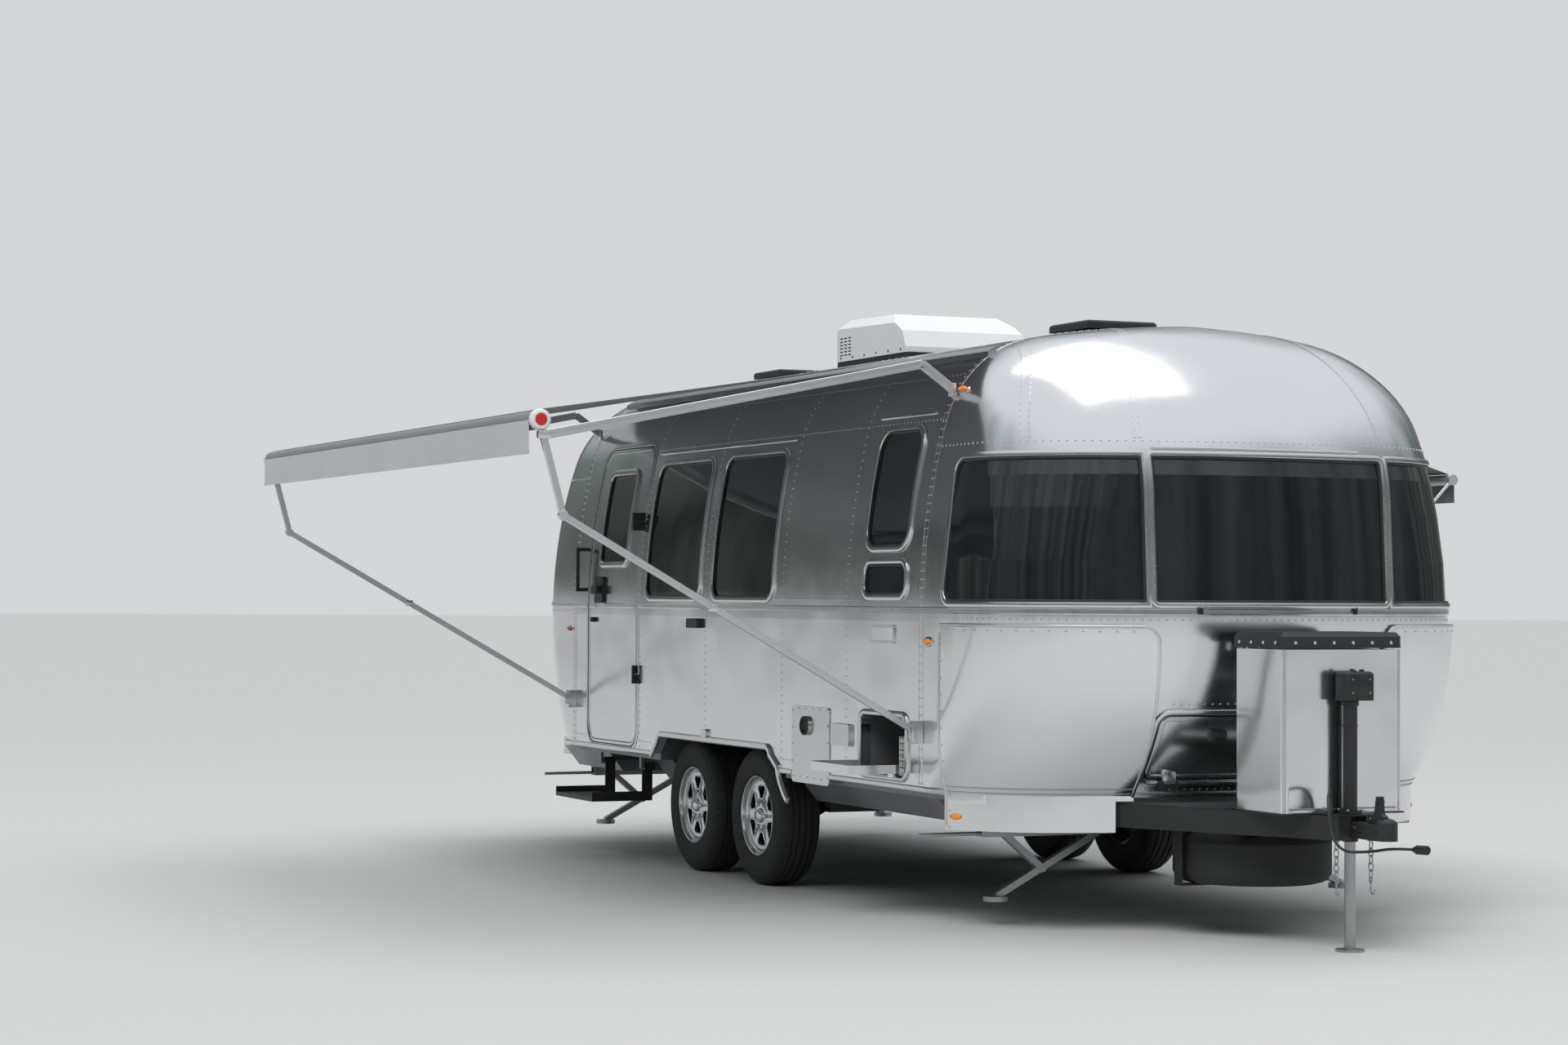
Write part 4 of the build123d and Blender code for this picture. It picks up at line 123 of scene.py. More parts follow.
def cap_row(cap, h, inset=0.0, straights=6, corners=16, noses=16):
    """Points of slices from the street seam round the nose to the curb seam, one row per height."""
    c = CAPS[cap]
    h = np.atleast_1d(np.asarray(h, float))
    reach, straight, half, corner, nose = (a[:, None] for a in plan(cap, h, inset))
    sign = np.where(nose > corner, 1.0, -1.0)
    turn = np.arctan2(sign * (half - corner), sign * (straight - (reach - nose)))
    t = np.linspace(0, 1, straights)[None, :-1]
    bow = pi / 2 + (turn - pi / 2) * np.linspace(0, 1, corners)[None, :-1]
    tip = turn * (1 - np.linspace(0, 1, noses)[None, :])
    nose_x = reach - nose + nose * np.cos(tip)
    x = np.concatenate([straight * t, straight + corner * np.cos(bow), nose_x], 1)
    y = np.concatenate([half + 0 * t, half - corner + corner * np.sin(bow), nose * np.sin(tip)], 1)
    x = np.concatenate([x, x[:, -2::-1]], 1)
    y = np.concatenate([y, -y[:, -2::-1]], 1)
    z = np.repeat((h + GROUND)[:, None], x.shape[1], 1)
    return np.stack([c["seam"] + c["way"] * x, y, z], -1)


def outside(p):
    """Signed horizontal distance of points from the skin."""
    x, y, h = p[..., 0], np.abs(p[..., 1]), p[..., 2] - GROUND
    d = y - half_width(h)
    for cap, c in CAPS.items():
        along = (x - c["seam"]) * c["way"]
        reach, straight, half, corner, nose = plan(cap, h)
        cy, nx = half - corner, reach - nose
        wide, narrow = np.arctan2(cy, straight - nx), np.arctan2(-cy, nx - straight)
        at_nose = np.arctan2(y, along - nx) < np.where(nose > corner, wide, narrow)
        round_corner = np.hypot(along - straight, y - cy) - corner
        round_nose = np.hypot(along - nx, y) - nose
        past = np.where(along < straight, y - half, np.where(at_nose, round_nose, round_corner))
        d = np.where(along > 0, past, d)
    return d


def unit(v):
    """Vectors scaled to length one."""
    return v / np.linalg.norm(v, axis=-1, keepdims=True)


def skin_normals(p):
    """Outward unit normals of the skin at points near it."""
    e = 0.0008
    grads = []
    for axis in range(3):
        q, r = p + e * np.eye(3)[axis], p - e * np.eye(3)[axis]
        if axis == 2:
            q[..., 2] = np.minimum(q[..., 2], CROWN + GROUND - 1e-5)
            r[..., 2] = q[..., 2] - 2 * e
        grads.append(outside(q) - outside(r))
    g = np.stack(grads, -1)
    length = np.linalg.norm(g, axis=-1, keepdims=True)
    g = np.where(length > 1e-9, g / np.maximum(length, 1e-9), UP)
    return np.where(p[..., 2:3] > CROWN + GROUND - 0.004, UP, g)


def lifted(points):
    """Points with what lies below the skirt raised to it."""
    q = np.array(points, float)
    q[..., 2] = np.maximum(q[..., 2], SKIRT + GROUND)
    return q


def guard_normals(points):
    """Outward normals of the stone guards, level below the skirt."""
    n = skin_normals(lifted(points))
    n[..., 2] = np.where(points[..., 2] < SKIRT + GROUND, 0.0, n[..., 2])
    return unit(n)


def wall_normals(points, side):
    """Outward normals of a long wall."""
    h = points[:, 2] - GROUND
    slope = (half_width(h + 0.001) - half_width(h - 0.001)) / 0.002
    return unit(np.stack([0 * h, side * np.ones_like(h), -slope], 1))


def slide(points, axis, low, high, level=0.0):
    """Slide points along one axis until they stand off the skin by a level, upright below the skirt."""
    points = np.array(points, float)
    a, b = np.full(len(points), float(low)), np.full(len(points), float(high))
    for _ in range(42):
        mid = (a + b) / 2
        points[:, axis] = mid
        inner = outside(lifted(points) if level else points) < level
        a, b = np.where(inner, mid, a), np.where(inner, b, mid)
    points[:, axis] = (a + b) / 2
    return points


def on_nose(points, level=0.0):
    """Points slid along X until they lie on the front cap, or off it by a level."""
    return slide(points, 0, NOSE_NEAR, NOSE_FAR, level)


def spots(x, y, height):
    """Points from numbers or arrays for x, y and height above the ground."""
    return np.stack(np.broadcast_arrays(x, y, np.asarray(height, float) + GROUND), -1).astype(float)


# Faces and meshes
def ring_faces(rings, sides, base=0, loop=False):
    """Quads between rings of points; in a loop the last ring joins the first."""
    faces = []
    for i in range(rings if loop else rings - 1):
        low, high = base + i * sides, base + (i + 1) % rings * sides
        faces += [(low + k, low + (k + 1) % sides, high + (k + 1) % sides, high + k) for k in range(sides)]
    return faces


def capped(rings, sides):
    """Faces of a tube with both ends closed."""
    last = (rings - 1) * sides
    return ring_faces(rings, sides) + [tuple(range(sides))[::-1], tuple(range(last, last + sides))]


def grid_faces(rows, columns, offset=0):
    """Quads of a grid of points, rows by columns."""
    starts = [offset + i * columns + j for i in range(rows - 1) for j in range(columns - 1)]
    return [(a, a + 1, a + columns + 1, a + columns) for a in starts]


def shell_mesh(outer, inner):
    """Closed surface between two grids of the same size, as vertices and faces."""
    rows, columns = outer.shape[:2]
    n = rows * columns
    verts = np.concatenate([outer.reshape(-1, 3), inner.reshape(-1, 3)])
    rim = list(range(columns))
    rim += [i * columns + columns - 1 for i in range(1, rows)]
    rim += [(rows - 1) * columns + j for j in range(columns - 2, -1, -1)]
    rim += [i * columns for i in range(rows - 2, 0, -1)]
    faces = grid_faces(rows, columns) + [quad[::-1] for quad in grid_faces(rows, columns, n)]
    return verts, faces + [(b, a, a + n, b + n) for a, b in zip(rim, rim[1:] + rim[:1])]


def joined(parts):
    """One set of vertices and faces from several."""
    verts, faces = [], []
    for part_verts, part_faces in parts:
        base = len(verts)
        verts.extend(part_verts)
        faces.extend(tuple(base + i for i in face) for face in part_faces)
    return verts, faces


def build(verts, faces, weld=None):
    """Mesh from vertices and faces; one with a welding distance also gets outward normals."""
    mesh = bpy.data.meshes.new("piece")
    mesh.from_pydata([tuple(v) for v in verts], [], [tuple(f) for f in faces])
    if weld is not None:
        bm = bmesh.new()
        bm.from_mesh(mesh)
        if weld:
            bmesh.ops.remove_doubles(bm, verts=bm.verts, dist=weld)
        bmesh.ops.recalc_face_normals(bm, faces=bm.faces)
        bm.to_mesh(mesh)
        bm.free()
    return mesh


def placed(name, data):
    """New object in the scene."""
    obj = bpy.data.objects.new(name, data)
    bpy.context.scene.collection.objects.link(obj)
    return obj


def dress(obj, finish, body="chassis", replaces=(), angle=35.0):
    """Finish, smooth shading with sharp edges, then the body and the nodes that an object stands for."""
    obj.data.materials.append(FINISH[finish])
    if angle:
        obj.data.shade_smooth()
        obj.data.set_sharp_from_angle(angle=radians(angle))
    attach(obj, body)
    if replaces:
        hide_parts(*replaces)


def piece(name, parts, finish="trim_alloy", body="chassis", replaces=(), angle=35.0, weld=None):
    """Dressed object made of several sets of vertices and faces."""
    mesh = build(*joined(parts), weld)
    mesh.validate()
    dress(placed(name, mesh), finish, body, replaces, angle)


def rounded(u0, u1, v0, v1, radius, steps=8):
    """Points round a rectangle with rounded corners."""
    points = []
    right, left, head, foot = u1 - radius, u0 + radius, v1 - radius, v0 + radius
    for cu, cv, start in ((right, head, 0), (left, head, 90), (left, foot, 180), (right, foot, 270)):
        for k in range(steps + 1):
            a = radians(start + 90 * k / steps)
            points.append((cu + radius * cos(a), cv + radius * sin(a)))
    return points


def filled(flat, step, closed=True):
    """Outline with points added so that it is evenly filled."""
    flat = [np.array(p, float) for p in flat]
    dense = []
    for p, q in zip(flat, flat[1:] + flat[:1] if closed else flat[1:]):
        n = max(1, int(hypot(*(q - p)) / step))
        dense += [p + (q - p) * k / n for k in range(n)]
    return np.array(dense if closed else dense + flat[-1:])


def bend(points, corners, steps=8):
    """Polyline whose inner corners are rounded, each by its own radius."""
    out = [np.array(points[0], float)]
    for i, radius in enumerate(corners, 1):
        a, p, b = (np.array(points[k], float) for k in (i - 1, i, i + 1))
        u, v = unit(a - p), unit(b - p)
        half = acos(max(-1.0, min(1.0, float(u @ v)))) / 2
        cut = radius / tan(half)
        centre = p + unit(u + v) * radius / sin(half)
        start, end = p + u * cut - centre, p + v * cut - centre
        for k in range(steps + 1):
            out.append(centre + unit(start * (1 - k / steps) + end * (k / steps)) * radius)
    return out + [np.array(points[-1], float)]


def prism(points, axis, low, high):
    """Object of an outline along Y (points are x, height) or along X (points are y, height)."""
    n = len(points)
    verts = []
    for w in (low, high):
        verts += [(u, w, v + GROUND) if axis == "y" else (w, u, v + GROUND) for u, v in points]
    faces = [tuple(range(n))[::-1], tuple(range(n, 2 * n))] + ring_faces(2, n)
    return placed("cutter", build(verts, faces, 0.0))


def carve(obj, cutters, operation="DIFFERENCE"):
    """Apply boolean cuts and drop the cutters."""
    for cutter in cutters:
        mod = obj.modifiers.new("cut", "BOOLEAN")
        mod.object = cutter
        mod.operation = operation
        mod.solver = "EXACT"
    bpy.context.view_layer.update()
    evaluated = obj.evaluated_get(bpy.context.evaluated_depsgraph_get())
    mesh = bpy.data.meshes.new_from_object(evaluated)
    old = obj.data
    obj.modifiers.clear()
    obj.data = mesh
    bpy.data.meshes.remove(old)
    for cutter in cutters:
        bpy.data.objects.remove(cutter)


def exact_shading(mesh, normals_of, tolerance):
    """Exact normals on the faces that lie on the skin, flat ones on cut edges."""
    points = np.empty(len(mesh.vertices) * 3)
    mesh.vertices.foreach_get("co", points)
    exact = normals_of(points.reshape(-1, 3))
    normals = np.empty((len(mesh.loops), 3))
    for poly in mesh.polygons:
        flat = np.array(poly.normal)
        for loop in poly.loop_indices:
            n = exact[mesh.loops[loop].vertex_index]
            facing = float(n @ flat)
            normals[loop] = n if facing > tolerance else (-n if facing < -tolerance else flat)
    mesh.normals_split_custom_set([tuple(n) for n in normals])


def shell_piece(name, sheets, cuts, node, finish="skin", body="chassis", weld=CAP_WELD, mode="DIFFERENCE"):
    """Smooth closed shell between two sheets, cut and shaded as the skin or the guards are."""
    obj = placed(name, build(*shell_mesh(*sheets), weld))
    if cuts:
        carve(obj, [prism(*cut) for cut in cuts], mode)
    obj.data.materials.clear()
    obj.data.materials.append(FINISH[finish])
    obj.data.shade_smooth()
    on_guards = finish == "brushed_guard"
    exact_shading(obj.data, guard_normals if on_guards else skin_normals, 0.85 if on_guards else 0.8)
    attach(obj, body)
    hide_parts(node)


def mm(*values):
    """Pairs of metres from a row of millimetres."""
    return [(u / 1000, v / 1000) for u, v in zip(values[::2], values[1::2])]


def mirrored(half):
    """Symmetrical profile from the points of its one side."""
    return half + [(-u, v) for u, v in half[::-1]]


def ribbon(path, section, normals=None, closed=True):
    """Profile swept along a path, as vertices and faces; section points are (across, proud)."""
    path = np.asarray(path, float)
    normals = skin_normals(path) if normals is None else np.broadcast_to(normals, path.shape)
    ahead = np.roll(path, -1, 0) - path
    behind = path - np.roll(path, 1, 0)
    if not closed:
        ahead[-1] = behind[-1]
        behind[0] = ahead[0]
    ahead, behind = unit(ahead), unit(behind)
    tangent = unit(ahead + behind)
    across = unit(np.cross(tangent, normals))
    stretch = 1 / np.maximum(0.5, np.sum(tangent * ahead, 1))
    stations = zip(path, across, normals, stretch)
    verts = [p + a * u * s + n * v for p, a, n, s in stations for u, v in section]
    count, m = len(path), len(section)
    return verts, ring_faces(count, m, loop=True) if closed else capped(count, m)


def side_of(axis):
    """Unit vector square to an axis, level unless the axis is upright."""
    side = np.cross(axis, UP)
    return unit(side) if np.linalg.norm(side) > 1e-3 else ALONG


def circle(centre, u, v, sides):
    """Points of an ellipse with half axes u and v."""
    return [centre + cos(a) * u + sin(a) * v for a in TURN * np.arange(sides) / sides]


def domes(centres, normals, radius=0.0048, height=0.0026, sides=8):
    """Rivet heads at points, each facing its own way."""
    rings = ((1.0, -0.25), (0.92, 0.42), (0.55, 0.86))
    verts, faces = [], []
    centres = np.asarray(centres, float)
    for centre, normal in zip(centres, np.broadcast_to(normals, centres.shape)):
        normal = unit(normal)
        side = side_of(normal)
        other = np.cross(normal, side)
        base = len(verts)
        for reach, rise in rings:
            at = centre + height * rise * normal
            verts += circle(at, radius * reach * side, radius * reach * other, sides)
        verts.append(centre + height * normal)
        faces += ring_faces(len(rings), sides, base)
        top = base + (len(rings) - 1) * sides
        faces += [(top + k, top + (k + 1) % sides, top + sides) for k in range(sides)]
    return verts, faces


def spaced(path, normals, spacing):
    """Even stations along a path with their normals."""
    normals = np.broadcast_to(normals, path.shape)
    run = np.concatenate([[0], np.cumsum(np.linalg.norm(np.diff(path, axis=0), axis=1))])
    at = np.linspace(0, run[-1], max(2, int(round(run[-1] / spacing))) + 1)
    return tuple(np.stack([np.interp(at, run, a[:, i]) for i in range(3)], 1) for a in (path, normals))


def box(x0, x1, y0, y1, z0, z1, ease=0.0015):
    """Block with eased edges, as vertices and faces; heights are above the ground."""
    bm = bmesh.new()
    bmesh.ops.create_cube(bm, size=1.0)
    middle = ((x0 + x1) / 2, (y0 + y1) / 2, (z0 + z1) / 2 + GROUND)
    for v in bm.verts:
        v.co = [m + c * size for m, c, size in zip(middle, v.co, (x1 - x0, y1 - y0, z1 - z0))]
    bmesh.ops.bevel(bm, geom=bm.edges[:], offset=ease, segments=2, affect="EDGES", profile=0.5)
    return plain(bm)


def plain(bm):
    """Vertices and faces of an edited mesh, which is then freed."""
    bm.verts.index_update()
    verts = [tuple(v.co) for v in bm.verts]
    faces = [tuple(v.index for v in f.verts) for f in bm.faces]
    bm.free()
    return verts, faces


def rod(start, end, radius, sides=20, ease=0.0015):
    """Round bar with eased ends, as vertices and faces; heights are above the ground."""
    a, b = spots(*start), spots(*end)
    axis = unit(b - a)
    side = side_of(axis)
    other = np.cross(axis, side)
    verts = []
    end = radius - ease
    for centre, r in ((a, end), (a + axis * ease, radius), (b - axis * ease, radius), (b, end)):
        verts += circle(centre, r * side, r * other, sides)
    return verts, capped(4, sides)


def bar(start, end, section, face):
    """Straight extrusion of a section whose proud side looks along face."""
    a, b = spots(*start), spots(*end)
    axis = unit(b - a)
    n = np.array(face, float)
    n = unit(n - axis * float(n @ axis))
    across = np.cross(axis, n)
    return [p + across * u + n * v for p in (a, b) for u, v in section], capped(2, len(section))


def lathe_faces(steps, count):
    """Quads of a closed profile turned full circle."""
    return [(a, d, c, b) for a, b, c, d in ring_faces(steps, count, loop=True)]


def turned(profile, steps):
    """Surface of revolution about the Y axis of (radius, y) points, as vertices and faces."""
    angles = TURN * np.arange(steps) / steps
    return [(r * cos(a), y, r * sin(a)) for a in angles for r, y in profile], lathe_faces(steps, len(profile))


def along_x(profile, x0, way, centre, sides=40):
    """Surface of revolution about a line along X, from (distance, radius) points."""
    verts = []
    for d, r in profile:
        verts += circle(spots(x0 + way * d, *centre), r * ACROSS, r * UP, sides)
    return verts, capped(len(profile), sides)


# Finishes
def add_node(tree, kind, inputs, **settings):
    """New shader node; an input is given as a value or as the output that feeds it."""
    node = tree.nodes.new("ShaderNode" + kind)
    for key, value in settings.items():
        setattr(node, key, value)
    for key, value in inputs.items():
        if isinstance(value, bpy.types.NodeSocket):
            tree.links.new(value, node.inputs[key])
        else:
            node.inputs[key].default_value = value
    return node


ONES = (1, 1, 1)


def noise(tree, at, scale, detail, **more):
    """Value of a noise texture at a position."""
    return add_node(tree, "TexNoise", {"Scale": scale, "Detail": detail, "Vector": at, **more}).outputs["Fac"]


def material(name, color, metal, roughness, spread, tint, grain, bump, depth, stretch=ONES, wave=(), **more):
    """Principled material whose colour, roughness and relief vary with noise in object space."""
    mat = bpy.data.materials.new(name)
    mat.use_nodes = True
    tree = mat.node_tree
    shader = tree.nodes["Principled BSDF"]
    shader.inputs["Metallic"].default_value = metal
    for key, value in more.items():
        shader.inputs[key.replace("_", " ")].default_value = value
    at = add_node(tree, "TexCoord", {}).outputs["Object"]
    mapped = add_node(tree, "Mapping", {"Scale": stretch, "Vector": at}).outputs["Vector"]
    fine = noise(tree, mapped, grain, 6.0, Roughness=0.6)
    broad = noise(tree, at, 2.3, 4.0)
    half = add_node(tree, "Math", {0: broad, 1: 0.5}, operation="MULTIPLY").outputs[0]
    mixed = add_node(tree, "Math", {0: fine, 1: 0.5, 2: half}, operation="MULTIPLY_ADD").outputs[0]
    span = {"From Min": 0.3, "From Max": 0.7, "Value": mixed}
    share = add_node(tree, "MapRange", span).outputs["Result"]
    low, high = [c * (1 - tint) for c in color], [min(1.0, c * (1 + tint)) for c in color]
    ends = {"A": (*low, 1), "B": (*high, 1)}
    blend = add_node(tree, "Mix", {**ends, "Factor": share}, data_type="RGBA").outputs["Result"]
    limits = {"To Min": max(0.02, roughness - spread), "To Max": roughness + spread}
    rough = add_node(tree, "MapRange", {**span, **limits}).outputs["Result"]
    relief = add_node(tree, "Bump", {"Strength": bump, "Distance": depth, "Height": fine})
    if wave:
        dent = noise(tree, at, wave[1], 1.5)
        swell = add_node(tree, "Bump", {"Strength": 1.0, "Distance": wave[0], "Height": dent})
        tree.links.new(swell.outputs["Normal"], relief.inputs["Normal"])
    for key, output in (("Base Color", blend), ("Roughness", rough), ("Normal", relief.outputs["Normal"])):
        tree.links.new(output, shader.inputs[key])
    return mat


# Grain drawn out along one axis, broad waves as (depth, scale), and coats
BODY_SHEET = dict(stretch=(1, 1, 0.12), wave=(0.012, 1.6))
GUARD_SHEET = dict(stretch=(1, 1, 0.1), wave=(0.01, 1.9))
LENS = dict(stretch=(6, 1, 1), Coat_Weight=0.6)
WOVEN = dict(stretch=(1, 0.35, 1))
CANVAS = dict(WOVEN, Sheen_Weight=0.15)
GLAZED = dict(stretch=(1, 1, 0.25), wave=(0.004, 2.5), Coat_Weight=1.0, Coat_Roughness=0.02, IOR=1.52)
# Name, colour, metallic, roughness and its spread, tint, grain, strength and depth of relief, and the rest
LOOKS = (
    ("skin", (0.78, 0.79, 0.81), 1.0, 0.19, 0.05, 0.03, 160, 0.05, 0.0003, BODY_SHEET),
    ("trim_alloy", (0.7, 0.71, 0.72), 1.0, 0.24, 0.06, 0.05, 220, 0.08, 0.0002, dict(stretch=(0.05, 1, 1))),
    ("awning_alloy", (0.76, 0.77, 0.78), 0.9, 0.34, 0.06, 0.04, 120, 0.06, 0.0002, {}),
    ("wheel_alloy", (0.66, 0.67, 0.69), 1.0, 0.2, 0.06, 0.06, 90, 0.06, 0.0002, {}),
    ("brushed_guard", (0.8, 0.81, 0.82), 1.0, 0.16, 0.04, 0.025, 240, 0.03, 0.0002, GUARD_SHEET),
    ("zinc_steel", (0.48, 0.49, 0.5), 1.0, 0.42, 0.1, 0.14, 70, 0.1, 0.0002, {}),
    ("underfloor_sheet", (0.3, 0.31, 0.32), 0.9, 0.5, 0.1, 0.15, 30, 0.1, 0.0004, {}),
    ("dark_frame", (0.05, 0.05, 0.055), 0.2, 0.4, 0.06, 0.1, 180, 0.1, 0.0002, {}),
    ("black_steel", (0.018, 0.018, 0.019), 0.0, 0.42, 0.09, 0.3, 60, 0.12, 0.0004, {}),
    ("bottle_paint", (0.8, 0.81, 0.82), 0.0, 0.28, 0.05, 0.04, 40, 0.05, 0.0003, {}),
    ("black_plastic", (0.02, 0.02, 0.022), 0.0, 0.46, 0.08, 0.2, 420, 0.25, 0.0003, {}),
    ("white_plastic", (0.66, 0.67, 0.67), 0.0, 0.38, 0.06, 0.04, 240, 0.12, 0.0003, {}),
    ("amber_lens", (0.86, 0.24, 0.02), 0.0, 0.14, 0.04, 0.1, 90, 0.3, 0.001, LENS),
    ("red_lens", (0.6, 0.02, 0.015), 0.0, 0.14, 0.04, 0.1, 90, 0.3, 0.001, LENS),
    ("cable_rubber", (0.034, 0.034, 0.035), 0.0, 0.34, 0.08, 0.2, 300, 0.15, 0.0003, {}),
    ("tyre_rubber", (0.022, 0.022, 0.022), 0.0, 0.72, 0.08, 0.35, 60, 0.3, 0.0006, {}),
    ("awning_cloth", (0.44, 0.455, 0.47), 0.0, 0.82, 0.06, 0.07, 700, 0.35, 0.0006, CANVAS),
    # Darker copy of the awning cloth: painted shade on the cloth's inner side and on the roll
    ("awning_shade", (0.2, 0.21, 0.22), 0.0, 0.85, 0.06, 0.12, 700, 0.35, 0.0006, WOVEN),
    ("tinted_glass", (0.01, 0.012, 0.014), 0.0, 0.045, 0.02, 0.3, 5, 0.03, 0.0008, GLAZED),
    ("red_paint", (0.52, 0.02, 0.02), 0.0, 0.34, 0.05, 0.08, 120, 0.08, 0.0003, {}),
    # Dark grey standing in for the tub's white plastic: painted shade inside the locker
    ("tub_plastic", (0.12, 0.12, 0.125), 0.0, 0.55, 0.08, 0.1, 90, 0.12, 0.0003, {}),
)
FINISH = {name: material(name, *look, **rest) for name, *look, rest in LOOKS}
node_finish = {part["node"]: part["material_slot"] for part in frame["record"]["subparts"]}
# The locker's tub takes the dark grey in place of its white plastic: painted shade
node_finish["locker_tub"] = "tub_plastic"
for name, obj in nodes.items():
    if not obj.material_slots:
        obj.data.materials.append(FINISH[node_finish[name]])
    for cell in obj.material_slots:
        cell.material = FINISH[node_finish[name]]

# Camera at the photograph's viewpoint, fitted from the body's own lines
CAMERA_AT = (10.708, -7.346, 1.471 + GROUND)
YAW, PITCH, ROLL = (radians(a) for a in (23.53, 1.31, 0.28))
IMAGE_WIDTH, FOCAL_PIXELS, SENSOR = 1920.0, 3825.0, 36.0
camera = placed("camera", bpy.data.cameras.new("camera"))
look = Vector((-cos(YAW) * cos(PITCH), sin(YAW) * cos(PITCH), sin(PITCH)))
camera.location = CAMERA_AT
camera.rotation_mode = "QUATERNION"
camera.rotation_quaternion = look.to_track_quat("-Z", "Y") @ Matrix.Rotation(ROLL, 4, "Z").to_quaternion()
camera.data.sensor_width = SENSOR
camera.data.lens = FOCAL_PIXELS / IMAGE_WIDTH * SENSOR
camera.data.clip_end = 200.0
bpy.context.scene.camera = camera

# Pale floor, soft lamps and a plain world
FLOOR_REACH = 400
corners = [(x * FLOOR_REACH, y * FLOOR_REACH, GROUND) for x, y in ((-1, -1), (1, -1), (1, 1), (-1, 1))]
floor = placed("floor", build(corners, [(0, 1, 2, 3)]))
floor_mat = bpy.data.materials.new("floor")
floor_mat.use_nodes = True
floor_shader = floor_mat.node_tree.nodes["Principled BSDF"]
floor_shader.inputs["Base Color"].default_value = (0.5, 0.5, 0.495, 1)
floor_shader.inputs["Roughness"].default_value = 0.9
floor.data.materials.append(floor_mat)


def lamp(name, kind, aim, power, at=(0, 0, 0), glossy=False, **settings):
    """Lamp that looks along a direction."""
    data = bpy.data.lights.new(name, kind)
    data.energy = power
    for key, value in settings.items():
        setattr(data, key, value)
    obj = placed(name, data)
    obj.location = at
    obj.rotation_euler = Vector(aim).to_track_quat("-Z", "Y").to_euler()
    obj.visible_glossy = glossy


lamp("key", "SUN", (-0.55, 0.62, -1.0), 1.75, angle=radians(32.0))
lamp("fill", "SUN", (0.35, -0.6, -1.0), 0.45, angle=radians(50.0))
lamp("top", "AREA", (0, 0, -11), 260.0, (-3.5, 0, 11), True, shape="RECTANGLE", size=11.0, size_y=6.0)
lamp("front", "AREA", (-10.5, 3, -4.9), 150.0, (9, -3, 6.5), shape="RECTANGLE", size=6.0, size_y=3.0)
world = bpy.data.worlds.new("world")
bpy.context.scene.world = world
world.use_nodes = True
tree = world.node_tree
sky = tree.nodes["Background"]
at = add_node(tree, "TexCoord", {}).outputs["Generated"]
height = add_node(tree, "SeparateXYZ", {"Vector": at}).outputs["Z"]
ramp = add_node(tree, "ValToRGB", {"Fac": height})
stretched = add_node(tree, "Mapping", {"Scale": (6.5, 6.5, 0.45), "Vector": at}).outputs["Vector"]
trunks = noise(tree, stretched, 1.6, 3.0)
levels = {"From Min": 0.36, "From Max": 0.64, "To Min": 0.35, "To Max": 1.9, "Value": trunks}
contrast = add_node(tree, "MapRange", levels).outputs["Result"]
levels = {"From Min": 0.15, "From Max": 0.62, "To Min": 1.0, "To Max": 0.0, "Value": height}
band = add_node(tree, "MapRange", levels).outputs["Result"]
shade = add_node(tree, "Mix", {"A": 1.0, "B": contrast, "Factor": band}, data_type="FLOAT")
tone = {0: ramp.outputs["Color"], "Scale": shade.outputs["Result"]}
tree.links.new(add_node(tree, "VectorMath", tone, operation="SCALE").outputs["Vector"], sky.inputs["Color"])
sky.inputs["Strength"].default_value = 0.85
foot_stop, head_stop = ramp.color_ramp.elements
foot_stop.position, foot_stop.color = 0.0, (0.42, 0.43, 0.42, 1)
head_stop.position, head_stop.color = 1.0, (0.95, 0.96, 0.98, 1)
for position, color in (
    (0.03, (0.1, 0.115, 0.105, 1)),
    (0.22, (0.15, 0.175, 0.165, 1)),
    (0.42, (0.42, 0.46, 0.47, 1)),
    (0.62, (0.95, 0.97, 1.0, 1)),
):
    ramp.color_ramp.elements.new(position).color = color
backdrop = add_node(tree, "Background", {"Color": (0.66, 0.67, 0.68, 1), "Strength": 1.0}).outputs[0]
seen = add_node(tree, "LightPath", {}).outputs["Is Camera Ray"]
choose = add_node(tree, "MixShader", {0: seen, 1: sky.outputs[0], 2: backdrop}).outputs[0]
tree.links.new(choose, tree.nodes["World Output"].inputs["Surface"])
bpy.context.scene.view_settings.view_transform = "Standard"

# End caps with their openings, as the solids have them
BAND_FOOT, BAND_HEAD, BAND_CORNER, BAND_BACK = 1.44, 2.07, 0.06, -1.6
PANE_HALF, PANE_CORNER, MULLION_OUT = 0.582, 0.015, 0.622
TAIL_HALF, TAIL_FOOT, TAIL_HEAD = 0.46, 1.47, 2.06
HATCH_HALF, HATCH_FOOT, HATCH_HEAD, HATCH_CORNER = 0.515, 0.672, 0.958, 0.045


def cap_heights(foot, head, inset):
    """Heights of a cap's slices between two limits, close together up the brow."""
    if head <= BELT:
        return np.linspace(foot, head, 20)
    spring = CROWN - NOSE_RADIUS
    phi = np.radians(np.concatenate([np.linspace(0, 80, 24), np.linspace(80, 89.4, 10)[1:]]))
    return np.concatenate([np.linspace(foot, spring, 8)[:-1], spring + (NOSE_RADIUS - inset) * np.sin(phi)])


